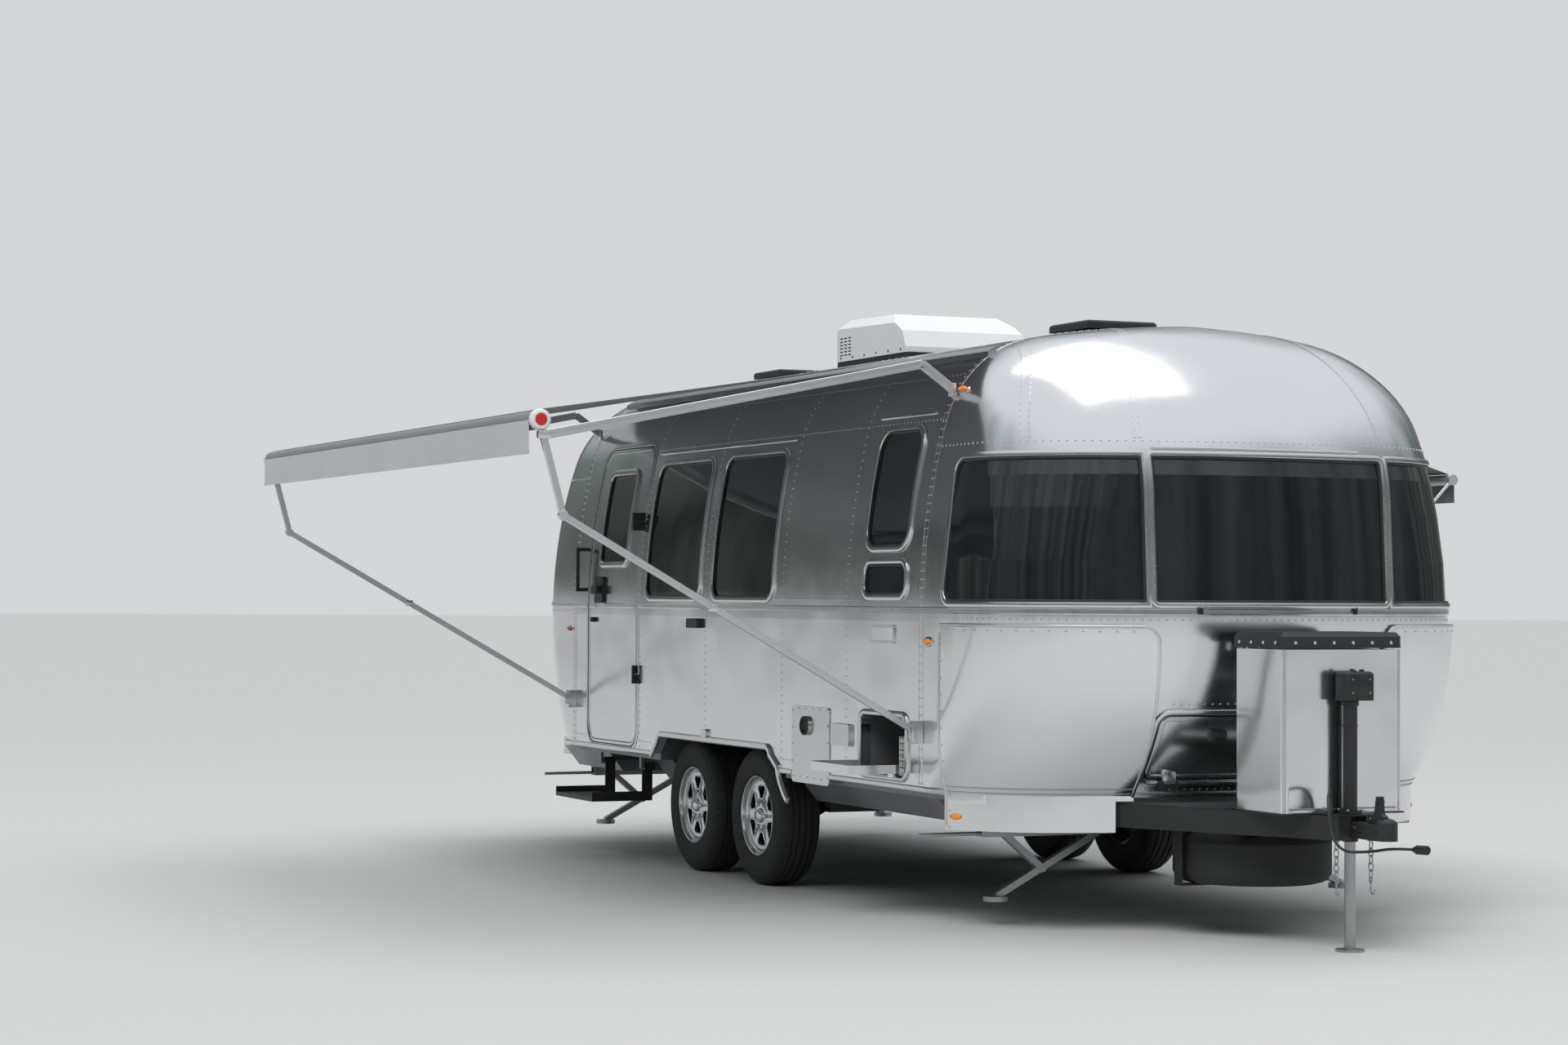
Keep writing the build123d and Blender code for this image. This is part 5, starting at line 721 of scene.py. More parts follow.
centre_pane = rounded(-PANE_HALF, PANE_HALF, BAND_FOOT, BAND_HEAD, PANE_CORNER)
corner_pane = rounded(BAND_BACK, 0.2, BAND_FOOT, BAND_HEAD, BAND_CORNER)
hatch_hole = rounded(-HATCH_HALF, HATCH_HALF, HATCH_FOOT, HATCH_HEAD, HATCH_CORNER)
tail_hole = rounded(-TAIL_HALF, TAIL_HALF, TAIL_FOOT, TAIL_HEAD, BAND_CORNER)
band_cuts = [(centre_pane, "x", -1.7, 0.0)]
band_cuts += [(corner_pane, "y", MULLION_OUT, 1.6), (corner_pane, "y", -1.6, -MULLION_OUT)]
for name, foot, head, cuts in (
    ("front_lower", SKIRT, BELT, ((hatch_hole, "x", -1.7, 0.0),)),
    ("front_upper", BELT, CROWN, band_cuts),
    ("rear_lower", SKIRT, BELT, ()),
    ("rear_upper", BELT, CROWN, ((tail_hole, "x", -8.0, -6.6),)),
):
    sheets = [cap_row(name.split("_")[0], cap_heights(foot, head, inset), inset) for inset in (0.0, WALL)]
    shell_piece(f"skin_{name}", sheets, cuts, f"cap_{name}")

# Frames round the windows: a soft proud rim of aluminium with a dark gasket at the glass
SIDE_WINDOWS = (
    (CURB, -5.24, -4.47, 1.45, 2.17, 0.07),
    (CURB, -4.285, -3.5, 1.45, 2.175, 0.07),
    (CURB, -2.432, -1.99, 1.688, 2.225, 0.09),
    (CURB, -2.42, -1.99, 1.468, 1.612, 0.05),
    (STREET, -5.24, -4.47, 1.45, 2.17, 0.07),
    (STREET, -2.96, -2.06, 1.45, 2.17, 0.07),
)
DOOR_WINDOW = (CURB, -5.985, -5.575, 1.64, 2.14, 0.045)
FRAME_BAR = mirrored(mm(14, -4, 14, 6, 11, 10.5))
FRAME_BAR[3:3] = mm(4, 12.5, -5, 12.5)
GASKET = mm(7, -14, 7, 4, 3, 6.5, -4, 5, -7, 1, -7, -14)
WALL_FILL, NOSE_FILL = 0.06, 0.04


def wall_outline(side, x0, x1, z0, z1, radius, grow):
    """Rounded rectangle laid on a long wall, evenly filled along its sides."""
    flat = rounded(x0 - grow, x1 + grow, z0 - grow, z1 + grow, radius + grow, 10)
    u, v = filled(flat, WALL_FILL).T
    return spots(u, side * half_width(v), v)[::side]


def wall_ring(window, grow, section):
    """Profile swept round a rounded rectangle on a long wall."""
    points = wall_outline(*window, grow)
    return ribbon(points, section, wall_normals(points, window[0]))


def nose_outline(cap, half, z0, z1, radius, grow):
    """Rounded rectangle seen from the nose or tail, laid on the end cap."""
    flat = rounded(-half - grow, half + grow, z0 - grow, z1 + grow, max(0.004, radius + grow), 10)
    u, v = filled(flat, NOSE_FILL).T
    way, seam = CAPS[cap]["way"], CAPS[cap]["seam"]
    return slide(spots(seam, u, v), 0, seam + way * 0.2, seam + way * 1.3)


def corner_outline(side, grow):
    """Outline of a corner pane of the front band, from the mullion round to the side."""
    foot, head, inner = BAND_FOOT - grow, BAND_HEAD + grow, MULLION_OUT - grow
    flat = rounded(BAND_BACK - grow, 0.5, foot, head, BAND_CORNER + grow, 10)
    arc = [p for p in flat if p[0] < BAND_BACK + BAND_CORNER + 0.001]
    upper = [(x, head) for x in np.linspace(arc[0][0], -0.2, 60)[:0:-1]]
    lower = [(x, foot) for x in np.linspace(arc[-1][0], -0.2, 60)[1:]]
    x, h = np.array(upper + arc + lower).T
    along = slide(spots(x, side * 0.9, h), 1, side * 0.05, side * 1.5)
    edge = on_nose(spots(-1.0, side * inner, np.linspace(foot, head, 14)))
    return np.concatenate([along[np.abs(along[:, 1]) > inner], edge])[::side]


rims = [wall_ring(window, 0.011, FRAME_BAR) for window in SIDE_WINDOWS]
gaskets = [wall_ring(window, -0.005, GASKET) for window in SIDE_WINDOWS]
for parts, grow, section in ((rims, 0.01, FRAME_BAR), (gaskets, -0.006, GASKET)):
    parts.append(ribbon(nose_outline("front", PANE_HALF, BAND_FOOT, BAND_HEAD, PANE_CORNER, grow), section))
    parts += [ribbon(corner_outline(side, grow), section) for side in SIDES]
tail_rim = nose_outline("rear", TAIL_HALF, TAIL_FOOT, TAIL_HEAD, BAND_CORNER, 0.01)
rims.append(ribbon(tail_rim[::-1], FRAME_BAR))
piece("window_rims", rims, replaces=["window_frames"])
piece("window_gaskets", gaskets, "black_plastic")

# Mouldings: double belt rail and bottom rail round the body, stopped at the door, vent and arches
BELT_RAIL = mirrored(mm(13, -3, 13, 4, 9, 7, 3, 7, 1, 3.5))
FOOT_BAR = mirrored(mm(13, -3, 13, 5, 8, 9))
DOOR_REAR, DOOR_FRONT, DOOR_FOOT, DOOR_HEAD = -6.16, -5.375, 0.622, 2.29
ARCH_FRONT, ARCH_REAR, ARCH_TOP = -3.43, -5.13, 0.7
VENT_REAR, VENT_FRONT = -3.24, -2.8
BELT_LINE, FOOT_LINE, STREET_JOINT = BELT + 0.002, SKIRT + 0.004, -4.3
CURB_STATIONS = {"front": 60, "rear": 40}


def end_rail(cap, height, curb_x, street_x, section):
    """Rail round one end of the body, between stations on the curb and street sides."""
    y, seam = float(half_width(height)), CAPS[cap]["seam"]
    street = spots(np.linspace(street_x, seam, 60)[:-1], y, height)
    curb = spots(np.linspace(seam, curb_x, CURB_STATIONS[cap])[1:], -y, height)
    nose = cap_row(cap, height, corners=30, noses=30)[0]
    return ribbon(np.concatenate([street, nose, curb])[:: CAPS[cap]["way"]], section, closed=False)


stub = spots(np.linspace(VENT_REAR - 0.002, ARCH_FRONT + 0.02, 8), -HALF_WIDTH, FOOT_LINE)
rails = [
    end_rail("front", BELT_LINE, DOOR_FRONT + 0.015, STREET_JOINT, BELT_RAIL),
    end_rail("rear", BELT_LINE, DOOR_REAR - 0.015, STREET_JOINT, BELT_RAIL),
    end_rail("front", FOOT_LINE, VENT_FRONT + 0.002, ARCH_FRONT + 0.02, FOOT_BAR),
    ribbon(stub, FOOT_BAR, -ACROSS, closed=False),
    end_rail("rear", FOOT_LINE, ARCH_REAR - 0.02, ARCH_REAR - 0.02, FOOT_BAR),
]
piece("mouldings", rails, replaces=["body_rails"])

# Raised lips round the wheel arches, flaring forward at the foot
ARCH_LIP = mm(16, -2, 16, 10, 10, 15, -10, 15, -16, 8, -16, -2)
LIP_CORNER, LIP_IN = 0.055, 0.13
flat = mm(-3288, 462, -3308, 474, -3334, 496, -3362, 526, -3386, 556, -3404, 586)
flat.append((ARCH_FRONT + 0.014, 0.618))
for x, start in ((ARCH_FRONT - LIP_IN, 18), (ARCH_REAR + LIP_IN, 90)):
    turn = np.radians(np.linspace(start, start + 72, 7))
    height = ARCH_TOP - LIP_CORNER + 0.012
    flat += zip(x + LIP_CORNER * np.cos(turn), height + LIP_CORNER * np.sin(turn))
flat.append((ARCH_REAR - 0.012, 0.59))
u, v = filled(flat, 0.08, closed=False).T
lips = [(spots(u, side * HALF_WIDTH, v)[::side], ARCH_LIP, side * ACROSS, False) for side in SIDES]
piece("arch_lips", [ribbon(*lip) for lip in lips])

# Seams and rivets
SEAM_STRIP = mirrored(mm(19, -2, 19, 1.2, 17.5, 2.2))
GORE_STRIP = mirrored(mm(21, -2, 21, 1.6))
SCREW, LID_RIVET = (0.0055, 0.003, 10), (0.008, 0.0042, 14)
RIVET_GAP, STRIP_LIFT, HOLE_MARGIN, RAIL_MARGIN = 0.038, 0.002, 0.03, 0.018
FULL_TURN_ROWS = (2.135, BELT + 0.026, BELT - 0.032)
HOLES = SIDE_WINDOWS + (
    (CURB, DOOR_REAR, DOOR_FRONT, 0.0, DOOR_HEAD, 0),
    (CURB, -2.5, -1.9, 0.6, 0.98, 0),
    (CURB, ARCH_REAR, ARCH_FRONT, 0.0, 0.74, 0),
    (STREET, ARCH_REAR, ARCH_FRONT, 0.0, 0.74, 0),
    (CURB, VENT_REAR, VENT_FRONT, 0.0, 0.94, 0),
)


def section_path(x):
    """Points and normals over the body's section at one station, from the curb skirt to the street skirt."""
    shoulder = SHOULDER_C[1] + SHOULDER_RADIUS * np.sin(np.linspace(LEAN + 0.25, RISE - 0.02, 14))
    h = np.sort(np.concatenate([np.arange(SKIRT + 0.03, 2.36, 0.03), shoulder]))
    y = half_width(h)
    roof_y = np.linspace(float(y[-1]), 0.0, 16)[1:]
    roof_h = ROOF_C[1] + np.sqrt(ROOF_RADIUS**2 - roof_y**2)
    ys = np.concatenate([-y, -roof_y, roof_y[-2::-1], y[::-1]])
    points = spots(x, ys, np.concatenate([h, roof_h, roof_h[-2::-1], h[::-1]]))
    t = np.gradient(points[:, 1:], axis=0)
    return points, unit(np.stack([0 * ys, -t[:, 1], t[:, 0]], 1))


def rivets_clear(centres, normals, lift=0.0):
    """Rivet heads on the long walls and the roof, left out at openings and rails."""
    x, y, h = (centres - (0, 0, GROUND)).T
    clear = np.ones(len(centres), bool)
    for side, x0, x1, z0, z1, _ in HOLES:
        inside = (x > x0 - HOLE_MARGIN) & (x < x1 + HOLE_MARGIN) & (y * side > 0.8)
        clear &= ~(inside & (h > z0 - HOLE_MARGIN) & (h < z1 + HOLE_MARGIN))
    for height in (BELT, SKIRT):
        clear &= np.abs(h - height) > RAIL_MARGIN
    return domes(centres[clear] + normals[clear] * lift, normals[clear])


heads, seams = [], []
for x in (FRONT_SEAM, REAR_SEAM):
    for offset in (-0.012, 0.012):
        heads.append(rivets_clear(*spaced(*section_path(x + offset), RIVET_GAP), STRIP_LIFT))
    path, normal = section_path(x)
    seams.append(ribbon(path, SEAM_STRIP, normal, closed=False))
for x in (-2.62, -3.38, -4.38, -5.33):
    heads.append(rivets_clear(*spaced(*section_path(x), RIVET_GAP)))
for side in SIDES:
    for height in (ROOF_SEAM - 0.012, 1.445, 0.66, 2.26):
        xs = np.arange(REAR_SEAM + 0.03, FRONT_SEAM - 0.02, RIVET_GAP)
        centre = spots(xs, side * float(half_width(height)), height)
        heads.append(rivets_clear(centre, wall_normals(centre, side)))

# Rows across the end caps: above the windows, under the belt, and the gores of the crown
for cap, c in CAPS.items():
    bounds = (0, c["seam"], c["seam"] + c["way"] * 1.3)
    for height in FULL_TURN_ROWS:
        row = cap_row(cap, height, corners=40, noses=40)[0]
        heads.append(domes(*spaced(row, skin_normals(row), 0.036)))
    for y_foot, y_head in ((-0.62, -0.3), (0.62, 0.3), (-1.02, -0.56), (1.02, 0.56)):
        t = np.linspace(0, 1, 60)
        h = 2.15 + (CROWN - 0.012 - 2.15) * np.sin(t * pi / 2)
        y = y_foot + (y_head - y_foot) * t**1.6
        points = slide(spots(c["seam"], y, h)[np.abs(y) < half_width(h) * 0.97], *bounds)
        for shift in (-0.011, 0.011):
            line = slide(points + shift * ACROSS, *bounds)
            heads.append(domes(*spaced(line, skin_normals(line), 0.034)))
        seams.append(ribbon(points, GORE_STRIP, closed=False))
piece("seam_strips", seams, "skin")
piece("rivet_heads", heads, angle=80)

# Stone guards: bright curved sheets standing off the front corners, with a bead round their edges
GUARD_IN, GUARD_OUT = 0.009, 0.023
GUARD_HEAD, GUARD_FOOT, GUARD_BACK = 1.345, 0.442, -1.605
INNER_HEAD, INNER_FOOT, GUARD_CORNER = 0.575, 0.512, 0.085
NOTCH_IN, NOTCH_OUT, NOTCH_HEAD = 0.451, 0.601, 0.577
EDGE_BEAD = mirrored(mm(7, -12, 7, 2, 4.5, 4.5))
GUARD_LINE = mirrored(mm(5, -2, 5, 3))
BEAD_IN = 0.006


def rectangle(u0, u1, v0, v1):
    """Corners of a rectangle."""
    return [(u0, v0), (u1, v0), (u1, v1), (u0, v1)]


guard_rows = np.concatenate([np.linspace(GUARD_FOOT, SKIRT, 5)[:-1], np.linspace(SKIRT, GUARD_HEAD, 26)])
sheets = []
for level in (GUARD_OUT, GUARD_IN):
    rows = cap_row("front", np.maximum(guard_rows, SKIRT), -level, 10, 26, 26)
    rows[..., 2] = (guard_rows + GROUND)[:, None]
    sheets.append(rows)
inner_edge = ((1.9, GUARD_HEAD), (INNER_HEAD, GUARD_HEAD), (INNER_FOOT, GUARD_FOOT), (1.9, GUARD_FOOT))
inner_edge = [(float(y), float(z)) for y, z in bend(inner_edge, [GUARD_CORNER] * 2)[1:-1]]
hole = mirrored([(inner_edge[0][0], GUARD_HEAD + 0.2), *inner_edge, (inner_edge[-1][0], GUARD_FOOT - 0.2)])
cuts = [(hole, "x", -1.7, 0.2), (rectangle(-2.4, GUARD_BACK, 0.2, 1.6), "y", -1.6, 1.6)]
for side in SIDES:
    inner, outer = sorted((side * NOTCH_IN, side * NOTCH_OUT))
    cuts.append((rectangle(inner, outer, 0.3, NOTCH_HEAD), "x", -1.4, -0.9))
shell_piece("stone_guard_sheets", sheets, cuts, "stone_guards", "brushed_guard", weld=0.0)

beads, guard_lines, guard_heads = [], [], []
for side in SIDES:
    y, z = filled([(y - 0.004 if 0.2 < z < 0.5 else y, z) for y, z in inner_edge], 0.03, closed=False).T
    edge = spots(-1.0, side * (y + BEAD_IN), np.clip(z, GUARD_FOOT + BEAD_IN, GUARD_HEAD - BEAD_IN))
    edge = on_nose(edge, GUARD_OUT)
    edge = edge[edge[:, 2] - GROUND > NOTCH_HEAD]
    top = cap_row("front", GUARD_HEAD - BEAD_IN, -GUARD_OUT, 10, 40, 40)[0][::side]
    top = top[(top[:, 0] > GUARD_BACK + 0.008) & (top[:, 1] * side > abs(edge[0][1]) + 0.01)]
    back = spots(GUARD_BACK + 0.008, side * 1.0, np.linspace(GUARD_HEAD - 0.02, GUARD_FOOT + 0.01, 30))
    back = slide(back, 1, side * 0.6, side * 1.5, GUARD_OUT)
    path = np.concatenate([back[::-1], top, edge])
    beads.append(ribbon(path, EDGE_BEAD[::side], guard_normals(path), closed=False))
    for height in (SKIRT + 0.028, SKIRT + 0.006):
        row = cap_row("front", height, -GUARD_OUT, 10, 40, 40)[0]
        row = row[(row[:, 0] > GUARD_BACK + 0.012) & (row[:, 1] * side > 0.535)]
        guard_lines.append(ribbon(row, GUARD_LINE, guard_normals(row), closed=False))
    for line in (back, top):
        facing = guard_normals(line)
        inward = unit(np.cross(facing, np.gradient(line, axis=0)))
        sign = np.sign(np.sum((spots(-1.2, side * 0.95, 0.9) - line) * inward, 1))[:, None]
        guard_heads.append(domes(*spaced(line + inward * sign * 0.022, facing, 0.075), *SCREW))
piece("guard_beads", beads)
piece("guard_rails", guard_lines)
piece("guard_rivets", guard_heads, angle=80)

# Wheels, their profiles in millimetres: (radius, distance in from the tyre's outer face) for the
# sidewall and the lugs, (step along y, radius) for a groove, (radius, rise) for a nut, else (radius, y)
AXLE = 0.35 + GROUND
WHEELS = {"front": -3.85, "rear": -4.71}
TYRE_FACE, TYRE_WIDTH, PITCHES, LUG_DROP, LUG_LEAN = 1.16, 0.225, 64, 0.0045, 0.035
SIDEWALL = mm(
    204, 20, 208, 10, 214, 6.5, 222, 5.5, 226, 3.5, 232, 4, 246, 1, 262, 0, 264, 1.2, 280, 0.5, 296, 1.6,
    298, 0.4, 312, 5, 326, 12,
)
LUGS = mm(334, 19, 340, 26, 344, 33)
GROOVES = (0.062, 0.094, 0.131, 0.163)
GROOVE = mm(-4.5, 349, -3, 341, 3, 341, 4.5, 349)
flank = [(r, inset, 0.0) for r, inset in SIDEWALL] + [(r, inset, LUG_DROP) for r, inset in LUGS]
tyre = flank + [(r, at + step, 0.0) for at in GROOVES for step, r in GROOVE]
tyre += [(r, TYRE_WIDTH - inset, drop) for r, inset, drop in flank[::-1]]
verts = []
for pitch in range(PITCHES):
    for share, low in ((0.0, 0), (0.76, 0), (0.8, 1), (0.96, 1)):
        for r, inset, drop in tyre:
            a = TURN * (pitch + share) / PITCHES + LUG_LEAN * (0.5 - abs(inset / TYRE_WIDTH - 0.5))
            r -= low * drop
            verts.append((r * cos(a), TYRE_FACE - inset, r * sin(a)))
tyre_mesh = build(verts, lathe_faces(4 * PITCHES, len(tyre)), WELD)

RIM = mm(
    203.5, 1145.5, 202.5, 1150, 198.5, 1151.5, 193.5, 1149, 190, 1140, 188, 1129, 180, 1123.5,
    166, 1122.5, 150, 1121.5, 120, 1119, 95, 1118.5, 80, 1121.5, 66, 1126, 54, 1127.5, 46, 1128,
    0.5, 1128, 0.5, 1105, 150, 1105, 174, 1105, 178, 1080, 180, 1020, 185, 956, 203.5, 947, 203.5, 952,
    190, 962, 186, 1030, 188, 1110, 195, 1135,
)
HUB_CAP = mm(0.5, 1144, 16, 1143.8, 27, 1142, 34.5, 1138, 37.5, 1132, 38, 1124, 43, 1123, 0.5, 1120)
DRUM = mm(0.5, 1095, 125, 1095, 150, 1088, 152, 1040, 172, 1038, 174, 1025, 0.5, 1025)
NUT = mm(10.5, -2, 10.5, 10, 8.5, 13.5, 1, 14)
WINDOW = ((0.088, -0.155, 0.011), (0.088, 0.155, 0.011), (0.163, 0.4, 0.017), (0.163, -0.4, 0.017))
WINDOW_EDGE = mirrored(mm(4.5, -6, 4.5, 3, 2, 5.5))
ribs, nuts, cutters = [], [], []
for k in range(6):
    a = pi / 6 + k * pi / 3
    flat = [np.array([r * cos(a + off), r * sin(a + off)]) for r, off, _ in WINDOW]
    ring = []
    for i in range(4):
        ring += bend([flat[i - 1], flat[i], flat[(i + 1) % 4]], [WINDOW[i][2]], 5)[1:-1]
    cutters.append(prism([(float(x), float(z) - GROUND) for x, z in ring], "y", 1.09, 1.16))
    path = np.array([(x, 1.1195, z) for x, z in ring])
    ribs.append(ribbon(path + unit(path - path.mean(0)) * 0.004, WINDOW_EDGE, ACROSS))
    spot = np.array([0.065 * cos(k * pi / 3), 1.1255, 0.065 * sin(k * pi / 3)])
    verts = [v for r, rise in NUT for v in circle(spot + rise * ACROSS, r * ALONG, r * UP, 12)]
    nuts.append((verts, ring_faces(4, 12) + [tuple(range(36, 48))]))
rim = placed("rim_piece", build(*turned(RIM, 96), WELD))
carve(rim, cutters)
rim_mesh = rim.data
bpy.data.objects.remove(rim)
WHEEL_PIECES = (
    ("tyre_{}_tread", tyre_mesh, "tyre_rubber", "tyre_{}", 30),
    ("rim_{}_cast", rim_mesh, "wheel_alloy", "rim_{}", 32),
    ("rim_{}_ribs", build(*joined(ribs + nuts + [turned(HUB_CAP, 48)]), WELD), "wheel_alloy", "", 32),
    ("drum_{}", build(*turned(DRUM, 64), WELD), "black_steel", "", 32),
)
for side, side_name in ((CURB, "curb"), (STREET, "street")):
    for end, x in WHEELS.items():
        tag = f"{side_name}_{end}"
        for name, source, finish, node, angle in WHEEL_PIECES:
            mesh = source.copy()
            for vertex in mesh.vertices:
                u, y, w = vertex.co
                vertex.co = (x + u, side * y, AXLE + w)
            if side == CURB:
                mesh.flip_normals()
            replaced = [node.format(tag)] if node else ()
            dress(placed(name.format(tag), mesh), finish, f"wheel_{tag}", replaced, angle)

# Front hatch: smooth leaf, hinge webs and barrels, latch, and the frame round its opening
HINGE_X, HINGE_Z, GAP = -1.045, 0.66, 0.006
LEAF_BAR = mirrored(mm(9, -4, 9, 2, 6, 4.5))
HATCH = (HATCH_HALF, HATCH_FOOT, HATCH_HEAD, HATCH_CORNER)
sheets = [cap_row("front", np.linspace(SKIRT, 1.05, 22), inset) for inset in (0.0, WALL)]
leaf = rounded(-HATCH_HALF + GAP, HATCH_HALF - GAP, HATCH_FOOT + GAP, HATCH_HEAD - GAP, HATCH_CORNER - GAP)
cuts = [(leaf, "x", -1.7, 0.0)]
hatch = ("front_hatch", "skin", "front_hatch_leaf")
shell_piece("front_hatch_leaf_skin", sheets, cuts, *hatch, weld=WELD, mode="INTERSECT")
hinges = []
for y in (-0.4, 0.4):
    hinges.append(box(-1.068, HINGE_X, y - 0.03, y + 0.03, HINGE_Z, HINGE_Z + 0.05, 0.003))
    hinges.append(rod((HINGE_X, y - 0.03, HINGE_Z), (HINGE_X, y + 0.03, HINGE_Z), 0.008))
piece("front_hatch_hinges", hinges, "trim_alloy", "front_hatch_leaf")
latch = [
    box(-0.958, -0.905, -0.272, -0.196, 0.845, 0.889, 0.006),
    box(-0.912, -0.899, -0.262, -0.206, 0.853, 0.881, 0.003),
]
piece("front_hatch_latch", latch, "black_plastic", "front_hatch_leaf")
piece("front_hatch_frame", [ribbon(nose_outline("front", *HATCH, 0.014), FRAME_BAR)])
leaf_edge = ribbon(nose_outline("front", *HATCH, -GAP - 0.011), LEAF_BAR)
piece("front_hatch_edge", [leaf_edge], "trim_alloy", "front_hatch_leaf")
rows = []
for height in (HATCH_HEAD + 0.048, HATCH_FOOT - 0.045):
    points = on_nose(spots(FRONT_SEAM, np.arange(-0.47, 0.4701, 0.036), height))
    rows.append(domes(points, skin_normals(points)))
piece("front_hatch_rivets", rows, angle=80)

# Awning: sloping cloth from the rail to the roller, valance, wrapped roller, end caps, arms and rafters
AWNING_X = (-6.362, -1.838)
RAIL_Y, ROLLER_Y, ROLLER_H, ROLLER_R = -0.88, -3.02, 2.205, 0.042
RAIL_TOP = SHOULDER_C[1] + sqrt((SHOULDER_RADIUS + 0.022) ** 2 - (RAIL_Y + SHOULDER_C[0]) ** 2)
CLOTH_SHEET = 0.0016
ROLLER = (ROLLER_Y, ROLLER_H)
HEM = mirrored(mm(6, -0.5, 6, 1.2))
WRAP = mm(0, 40.5, 1, 41.5, 4530, 41.5, 4531, 40.5)
END_CAP = mm(0, 44, 2, 46, 20, 46, 27.5, 44, 31, 40, 32.5, 33, 32.5, 29, 31, 27.5, 31, 1)
CAP_DISC = mm(30.5, 26.8, 32.8, 26.2, 33.4, 24, 33.4, 1)


def sagging(start, end, sag, count):
    """Line from one (y, height) point to another with its middle hanging low."""
    t = np.linspace(0, 1, count)[:, None]
    return np.array(start) * (1 - t) + np.array(end) * t - sag * np.sin(pi * t) * UP[1:]


def cloth(name, path, x_range, columns, wave, out, node):
    """Thin sheet that follows a line of (y, height) points, in the light cloth outside and a darker copy of
    the cloth inside as painted shade.
    """
    tangent = unit(np.gradient(path, axis=0))
    normal = np.stack([-tangent[:, 1], tangent[:, 0]], 1) * out
    xs = np.linspace(*x_range, columns)
    swell = np.array([wave(xs, t) for t in np.linspace(0, 1, len(path))])
    sides = []
    for shift in (CLOTH_SHEET / 2, -CLOTH_SHEET / 2):
        at = path[:, None] + normal[:, None] * (shift + swell)[..., None]
        sides.append(spots(xs, at[..., 0], at[..., 1]))
    mesh = build(*shell_mesh(*sides), 1e-7)
    obj = placed(name, mesh)
    dress(obj, "awning_cloth", replaces=[node], angle=50)
    # The inner side takes the darker copy of the cloth: painted shade
    mesh.materials.append(FINISH["awning_shade"])
    half = (len(path) - 1) * (columns - 1)
    for poly in mesh.polygons[half : 2 * half]:
        poly.material_index = 1
    return obj


def canopy_wave(xs, t):
    """Swell of the canopy, none along its held edges."""
    rise = sin(pi * t)
    return 0.0035 * np.sin(xs * 2.9) * rise - 0.002 * np.sin(xs * 9.0) * rise**2


start, end = (RAIL_Y - 0.01, RAIL_TOP + 0.0135), (ROLLER_Y, ROLLER_H + ROLLER_R + 0.0028)
slope = sagging(start, end, 0.01, 40)
canopy = cloth("awning_cloth_top", slope, AWNING_X, 90, canopy_wave, -1, "awning_canopy")
hang_y = ROLLER_Y - ROLLER_R - 0.0025
hang = sagging((hang_y, ROLLER_H - 0.002), (hang_y, ROLLER_H - 0.146), 0, 14)
flutter = lambda xs, t: 0.0022 * np.sin(xs * 11.0) * t
valance = cloth("awning_valance", hang, AWNING_X, 150, flutter, -1, "awning_canopy")
hem = spots(np.linspace(*AWNING_X, 80), hang_y - 0.0015, ROLLER_H - 0.14)
piece("awning_valance_hem", [ribbon(hem, HEM, -ACROSS, closed=False)], "awning_cloth")
wrap = along_x(WRAP, -6.3655, 1, ROLLER, 48)
# The roll wears the darker copy of the cloth: painted shade
piece("awning_roll", [wrap], "awning_shade", replaces=["awning_roller"], weld=WELD)
ENDS = ((-1.834, 1), (-6.366, -1))
end_caps = [along_x(END_CAP, x, way, ROLLER, 48) for x, way in ENDS]
piece("awning_end_caps", end_caps, "white_plastic", weld=WELD)
discs = [along_x(CAP_DISC, x, way, ROLLER, 40) for x, way in ENDS]
piece("awning_cap_discs", discs, "red_paint", weld=WELD)

CHANNEL = mirrored(mm(14.5, -9.5, 14.5, 8, 13, 9.5, 6, 9.5, 5, 6))
RAFTER = [(u * 1.35, v * 1.05) for u, v in CHANNEL]
ARM_BEND, ARM_FOOT = (-2.915, 1.8), (-1.262, 0.868)
RAFTER_TOP, RAFTER_FOOT = (-1.225, 2.5), (-1.068, 2.39)
HUB, RAFTER_END = (ROLLER_Y + 0.012, ROLLER_H - 0.061), (ROLLER_Y + 0.04, ROLLER_H - 0.061)
ARM_MID = np.array(ARM_FOOT) * 0.42 + np.array(ARM_BEND) * 0.58
SADDLE = (ROLLER_Y - 0.012, ROLLER_Y + 0.048, ROLLER_H - 0.08, ROLLER_H - 0.047)
CHEEK = (ARM_FOOT[0] - 0.012, -1.23, 0.83, 0.89)
SLIDER = (ARM_MID[0] - 0.02, ARM_MID[0] + 0.02, ARM_MID[1] - 0.016, ARM_MID[1] + 0.016)
BARS = (
    (ARM_FOOT, ARM_BEND, CHANNEL),
    (ARM_BEND, HUB, CHANNEL),
    (RAFTER_END, RAFTER_TOP, RAFTER),
    (RAFTER_TOP, RAFTER_FOOT, RAFTER),
    (RAFTER_END, HUB, RAFTER),
)
channels, joints = [], []
